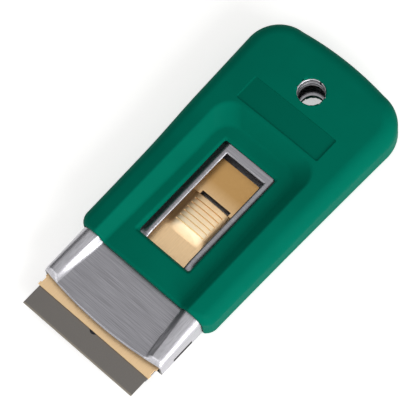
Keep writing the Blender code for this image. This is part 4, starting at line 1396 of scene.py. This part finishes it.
def rivet_row(name, nodes, spread_width, material, slot):
    """A row of rivets in the place of the nodes that it stands for."""
    sizes = bpy.context.scene.scraper_fittings
    low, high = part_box(nodes[0])
    flatten = sizes.head_height / sizes.head_radius
    top = high.z - sizes.head_height
    foot = low.z + sizes.head_height
    head = arc((0, 0), sizes.head_radius, 90, -90, HEAD_STEPS)
    base = arc((0, 0), sizes.head_radius, 0, -90, HEAD_STEPS)
    profile = [(r, top + z * flatten) for r, z in head]
    profile += [(sizes.rivet_radius, top), (sizes.rivet_radius, foot)]
    profile += [(r, foot + z * flatten) for r, z in base]
    piece = new_piece(name, material)
    with editing(piece.data) as shape:
        line = [shape.verts.new((max(r, 0), 0, z)) for r, z in profile]
        edges = [shape.edges.new(pair) for pair in zip(line, line[1:])]
        bmesh.ops.spin(
            shape, geom=[*line, *edges], cent=(0, 0, 0), axis=(0, 0, 1), dvec=(0, 0, 0),
            angle=math.tau, steps=RIVET_STEPS,
        )
        bmesh.ops.remove_doubles(shape, verts=shape.verts, dist=MERGE_GAP)
        bmesh.ops.recalc_face_normals(shape, faces=shape.faces)
    shade(piece)
    tree = bpy.data.node_groups.get("rivet_row") or rivet_tree()
    run_tree(piece, tree, {
        "Count": len(nodes),
        "First": (-spread_width / 2, (low.y + high.y) / 2, 0.0),
        "Step": (spread_width, 0.0, 0.0),
        "Finish": material,
    })
    settle(piece)
    hand_over(piece, "slider", slot, *nodes)


# Operators, one for each piece or group of pieces


class SCRAPER_OT_sleeve(bpy.types.Operator):
    """Builds the moulded grip sleeve"""

    bl_idname = "scraper.sleeve"
    bl_label = "Grip Sleeve"

    def execute(self, context):
        sizes = context.scene.scraper_sleeve
        housing = context.scene.scraper_housing

        def distance(x, y, z):
            """The sleeve's own distance function."""
            return sleeve_distance(sizes, housing, x, y, z)

        points, faces, normals = skin(distance, sleeve_grid(sizes, housing))
        material = finish(moulded_polypropylene)
        sleeve = new_piece("sleeve", material, points.tolist(), faces.tolist())
        sleeve.data.shade_smooth()
        sleeve.data.normals_split_custom_set_from_vertices(normals.tolist())
        mark_recess(sleeve, sizes)
        hand_over(sleeve, "housing", "sleeve_plastic", "grip_sleeve")
        return {"FINISHED"}


class SCRAPER_OT_housing(bpy.types.Operator):
    """Builds the stamped shell with its window, slots, beads and hanging hole"""

    bl_idname = "scraper.housing"
    bl_label = "Housing Shell"

    def execute(self, context):
        sizes = context.scene.scraper_housing

        def is_open(middle):
            """Whether the shell is cut away here."""
            return shell_is_open(sizes, middle)

        nickel = finish(nickel_plated_steel)
        cut = finish(sheared_steel)
        rows = shell_rows(sizes)
        shell = sheet_piece("shell", rows, sizes.sheet, sizes.edge, nickel, is_open, cut)
        high = SHELL_HIGH.z
        low = high - sizes.flange_depth
        draw_hole(shell, sizes.hole_radius, sizes.flange_wall, low, high, sizes.edge)
        mark_brushed(shell, sizes)
        hand_over(shell, "housing", "housing_steel", "upper_shell")
        return {"FINISHED"}


class SCRAPER_OT_back(bpy.types.Operator):
    """Builds the back plate with its drawn wall, and the split collar of the hole"""

    bl_idname = "scraper.back"
    bl_label = "Back Plate and Collar"

    def execute(self, context):
        sizes = context.scene.scraper_housing
        fittings = context.scene.scraper_fittings
        nickel = finish(nickel_plated_steel)
        top = BACK_LOW.z + sizes.back_sheet
        rows = [
            [Vector((x, y, top)) for x in (BACK_LOW.x, BACK_HIGH.x)]
            for y in (BACK_LOW.y, BACK_HIGH.y)
        ]
        edge = sizes.back_edge
        plate = sheet_piece("rear_plate", rows, sizes.back_sheet, edge, nickel)
        low = BACK_LOW.z
        high = low + sizes.back_flange
        draw_hole(plate, sizes.back_hole_radius, sizes.flange_wall, low, high, edge)
        hand_over(plate, "housing", "housing_steel", "back_plate")
        inner = sizes.hole_radius
        section = ring_section(
            inner, inner + fittings.collar_wall, COLLAR_LOW.z, COLLAR_HIGH.z, fittings.collar_roll
        )
        # The split opens to the rear
        half = math.degrees(fittings.collar_split / 2 / inner)
        turn = 360 - 2 * half
        collar = turned("collar", section, HOLE_PLACE, 90 + half, turn, HOLE_STEPS, nickel)
        hand_over(collar, "housing", "housing_steel", "hole_collar")
        return {"FINISHED"}


class SCRAPER_OT_blade(bpy.types.Operator):
    """Builds the blade, its holder, its clamp and the leaf spring"""

    bl_idname = "scraper.blade"
    bl_label = "Blade and Holder"

    def execute(self, context):
        fittings = context.scene.scraper_fittings
        hand_over(blade_strip(fittings), "slider", "blade_steel", "razor_blade")
        hand_over(holder_sheet(fittings), "slider", "brass_plate", "blade_holder")
        # Painted shade: the clamp is painted nearly black, so that the blade's hole shows dark
        clamp_shade = finish(shade_black_spring_steel)
        clamp = softened_copy("blade_clamp", "clamp", fittings.sheet_edge, clamp_shade)
        # The blade covers the jaw under it from side to side
        for point in clamp.data.vertices:
            point.co.x = min(max(point.co.x, BLADE_LOW.x), BLADE_HIGH.x)
        hand_over(clamp, "clamp", "spring_steel", "blade_clamp")
        rolled = finish(rolled_spring_steel)
        spring = softened_copy("leaf_spring", "spring", fittings.sheet_edge / 2, rolled)
        hand_over(spring, "slider", "spring_steel", "leaf_spring")
        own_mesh(spring)
        return {"FINISHED"}


class SCRAPER_OT_thumb(bpy.types.Operator):
    """Builds the thumb plate with its ribbed rest and lock ears"""

    bl_idname = "scraper.thumb"
    bl_label = "Thumb Plate"

    def execute(self, context):
        sizes = context.scene.scraper_thumb
        brass = finish(brass_plated_steel)
        rows, shares = rest_rows(sizes)
        slit = slit_start(sizes)

        def is_open(middle):
            """Whether this place lies in the slit."""
            past = middle.y - THUMB_LOW.y - slit
            return abs(middle.x) < sizes.slit_side and 0 < past < sizes.slit_length

        plate = sheet_piece("thumb_rest", rows, sizes.sheet, sizes.edge, brass, is_open)
        found = dict(zip((place_key(point) for row in rows for point in row), shares))
        keys = [place_key(point.co) for point in plate.data.vertices]
        mark(plate, "rib_share", [found.get(key, 0.0) for key in keys])
        run_tree(plate, rib_tree(), {
            "First Groove": THUMB_LOW.y + sizes.rest_start + sizes.ramp,
            "Rib Pitch": sizes.rib_pitch,
            "Rib Count": sizes.rib_count,
            "Rib Round": sizes.rib_round,
            "Groove Depth": sizes.groove_depth,
            "Groove Width": sizes.groove_width,
            "Finish": brass,
        })
        # The grooves go through both faces of the sheet, before its edges are rounded
        plate.modifiers.move(len(plate.modifiers) - 1, 1)
        settle(plate)
        self.raise_ears(plate, sizes)
        fittings = context.scene.scraper_fittings
        rivets_place = sum(corner.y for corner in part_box("plate_rivet_left")) / 2
        for hand in (-1, 1):
            bore = fittings.rivet_radius + SHEET_GAP
            open_hole(plate, bore, hand * fittings.plate_spread / 2, rivets_place)
        hand_over(plate, "thumb", "brass_plate", "thumb_plate")
        return {"FINISHED"}

    def raise_ears(self, plate, sizes):
        """Draws the lock ears up out of the plate."""
        # They end just under the sunk sheet of the housing
        housing = bpy.context.scene.scraper_housing
        under = panel_top(housing) - housing.sheet - housing.rim_sink
        lift = under - SEAT_GAP - HOLDER_HIGH.z
        with editing(plate.data) as shape:
            ears = []
            for face in shape.faces:
                middle = face.calc_center_median()
                place = abs(middle.y - THUMB_LOW.y - sizes.ear_place)
                inside = sizes.ear_in < abs(middle.x) < sizes.ear_out
                if face.normal.z > FACING_UP and inside and place < sizes.ear_length / 2:
                    ears.append(face)
            grown = bmesh.ops.extrude_face_region(shape, geom=ears)
            bmesh.ops.delete(shape, geom=ears, context="FACES_ONLY")
            points = [item for item in grown["geom"] if isinstance(item, bmesh.types.BMVert)]
            bmesh.ops.translate(shape, verts=points, vec=(0, 0, lift))


class SCRAPER_OT_rivets(bpy.types.Operator):
    """Builds the rivets that join the slider's pieces"""

    bl_idname = "scraper.rivets"
    bl_label = "Rivets"

    def execute(self, context):
        sizes = context.scene.scraper_fittings
        clamps = ("clamp_rivet_left", "clamp_rivet_right")
        plates = ("plate_rivet_left", "plate_rivet_right")
        brass = finish(brass_plated_steel)
        rivet_row("clamp_rivets", clamps, sizes.clamp_spread, brass, "brass_plate")
        rivet_row("plate_rivets", plates, sizes.plate_spread, brass, "brass_plate")
        spring = finish(rolled_spring_steel)
        rivet_row("spring_rivets", ("spring_rivet",), 0.0, spring, "spring_steel")
        return {"FINISHED"}


# Stage: camera, lamps, floor and world

CAMERA_PLACE = Vector((194.75 * MM, -152.30 * MM, 617.23 * MM))
CAMERA_AIM = Vector((0.44 * MM, -1.88 * MM, 6.5 * MM))
CAMERA_ROLL = math.radians(10.438)
CAMERA_LENS = 218.32
CAMERA_SENSOR = 36.0
FLOOR_REACH = 3.0
FLOOR_GREY = "#F4F3F1"
ROOM_FILL = 0.43
FLOOR_GLOW = 0.5

# Softboxes: name, place, width and height in metres, watts
LAMPS = (
    ("key", (0.86, -0.18, 0.35), (0.7, 0.6), 8.0),
    ("front_box", (-0.15, -0.62, 0.72), (0.6, 0.5), 1.0),
)

# Cards that the metal mirrors: name, middle, width and height in metres, brightness
CARDS = (
    ("left_card", (-0.60, 0.00, 0.50), (0.80, 1.00), 0.10),
    ("rear_card", (-0.20, 0.60, 0.22), (1.20, 0.44), 0.06),
    ("grey_card", (-0.17, 0.10, 0.60), (0.38, 0.60), 0.92),
    ("right_card", (0.40, 0.00, 0.52), (0.14, 0.70), 0.30),
)


def place_camera():
    """Sets the camera where the photograph was taken from."""
    lens = bpy.data.cameras.new("camera")
    lens.lens = CAMERA_LENS
    lens.sensor_width = CAMERA_SENSOR
    lens.clip_start = 10 * MM
    camera = bpy.data.objects.new("camera", lens)
    bpy.context.scene.collection.objects.link(camera)
    aim = (CAMERA_AIM - CAMERA_PLACE).to_track_quat("-Z", "Y")
    turn = aim.to_matrix().to_4x4() @ Matrix.Rotation(-CAMERA_ROLL, 4, "Z")
    camera.matrix_world = Matrix.Translation(CAMERA_PLACE) @ turn
    bpy.context.scene.camera = camera


def place_lamps():
    """Sets the softboxes."""
    for name, place, size, power in LAMPS:
        light = bpy.data.lights.new(name, "AREA")
        light.shape = "RECTANGLE"
        light.size, light.size_y = size
        light.energy = power
        lamp = bpy.data.objects.new(name, light)
        lamp.location = place
        lamp.rotation_mode = "QUATERNION"
        lamp.rotation_quaternion = (-Vector(place)).to_track_quat("-Z", "Y")
        bpy.context.scene.collection.objects.link(lamp)


def card_face(tree, brightness):
    """The face of a card: plain light of one brightness."""
    return {
        "Base Color": BLACK,
        "Specular IOR Level": 0,
        "Emission Color": WHITE,
        "Emission Strength": brightness,
    }


def place_cards():
    """Stands dark and grey cards round the scraper, which its plating mirrors."""
    for name, place, (width, height), brightness in CARDS:
        corners = [(-width, -height), (width, -height), (width, height), (-width, height)]
        turn = Vector(place).to_track_quat("-Z", "Y").to_matrix()
        points = [Vector(place) + turn @ Vector((x / 2, y / 2, 0)) for x, y in corners]
        card = new_piece(name, new_material(name, card_face, brightness), points, [(0, 1, 2, 3)])
        card.visible_camera = False
        card.visible_shadow = False


def seen_share(tree):
    """One where a ray comes from the camera or through gloss or glass, and nought elsewhere."""
    seen = add_node(tree, "ShaderNodeLightPath", output="Is Camera Ray")
    path = seen.node.outputs
    for kind in ("Is Glossy Ray", "Is Transmission Ray"):
        seen = add_node(tree, "ShaderNodeMath", {0: seen, 1: path[kind]}, operation="MAXIMUM")
    return seen


def matt_white_paper(tree):
    """Matt white paper that shows the scraper's shadow and otherwise melts into white."""
    glow = {0: seen_share(tree), 1: FLOOR_GLOW}
    return {
        "Base Color": tone(linear(FLOOR_GREY)),
        "Roughness": 0.9,
        "Specular IOR Level": 0.1,
        "Emission Color": WHITE,
        "Emission Strength": add_node(tree, "ShaderNodeMath", glow, operation="MULTIPLY"),
    }


def light_world():
    """A white room that fills the shadows softly and shows as plain white."""
    world = bpy.data.worlds.new("white_room")
    bpy.context.scene.world = world
    world.use_nodes = True
    tree = world.node_tree
    inputs = {"Value": seen_share(tree), "To Min": ROOM_FILL, "To Max": 1.0}
    strength = add_node(tree, "ShaderNodeMapRange", inputs)
    feed(tree, tree.nodes["Background"], {"Color": WHITE, "Strength": strength})


class SCRAPER_OT_stage(bpy.types.Operator):
    """Sets up the floor, the lamps, the room and the camera"""

    bl_idname = "scraper.stage"
    bl_label = "Stage"

    def execute(self, context):
        reach = FLOOR_REACH
        corners = [(-reach, -reach, 0), (reach, -reach, 0), (reach, reach, 0), (-reach, reach, 0)]
        paper = new_material("matt_white_paper", matt_white_paper)
        floor = new_piece("floor", paper, corners, [(0, 1, 2, 3)])
        light_world()
        place_lamps()
        place_cards()
        place_camera()
        context.scene.view_settings.view_transform = "Standard"
        return {"FINISHED"}


class SCRAPER_PT_sidebar(bpy.types.Panel):
    """Lists the pieces, the stage and the sizes"""

    bl_idname = "SCRAPER_PT_sidebar"
    bl_label = "Safety Scraper"
    bl_space_type = "VIEW_3D"
    bl_region_type = "UI"
    bl_category = "Scraper"

    def draw(self, context):
        for operator in OPERATORS:
            self.layout.operator(operator.bl_idname, text=operator.bl_label)
        for name, group in GROUPS.items():
            box = self.layout.box()
            box.label(text=group.__doc__)
            for size in group.__annotations__:
                box.prop(getattr(context.scene, name), size)


OPERATORS = (
    SCRAPER_OT_sleeve,
    SCRAPER_OT_housing,
    SCRAPER_OT_back,
    SCRAPER_OT_blade,
    SCRAPER_OT_thumb,
    SCRAPER_OT_rivets,
    SCRAPER_OT_stage,
)
GROUPS = {
    "scraper_sleeve": SCRAPER_PG_sleeve,
    "scraper_housing": SCRAPER_PG_housing,
    "scraper_thumb": SCRAPER_PG_thumb,
    "scraper_fittings": SCRAPER_PG_fittings,
    "scraper_finishes": SCRAPER_PG_finishes,
}


def register():
    for name, group in GROUPS.items():
        bpy.utils.register_class(group)
        setattr(bpy.types.Scene, name, bpy.props.PointerProperty(type=group))
    for operator in OPERATORS:
        bpy.utils.register_class(operator)
    bpy.utils.register_class(SCRAPER_PT_sidebar)


def unregister():
    bpy.utils.unregister_class(SCRAPER_PT_sidebar)
    for operator in reversed(OPERATORS):
        bpy.utils.unregister_class(operator)
    for name, group in reversed(GROUPS.items()):
        delattr(bpy.types.Scene, name)
        bpy.utils.unregister_class(group)


def main():
    register()
    bpy.ops.scraper.sleeve()
    bpy.ops.scraper.housing()
    bpy.ops.scraper.back()
    bpy.ops.scraper.blade()
    bpy.ops.scraper.thumb()
    bpy.ops.scraper.rivets()
    bpy.ops.scraper.stage()


if __name__ == "__main__":
    main()
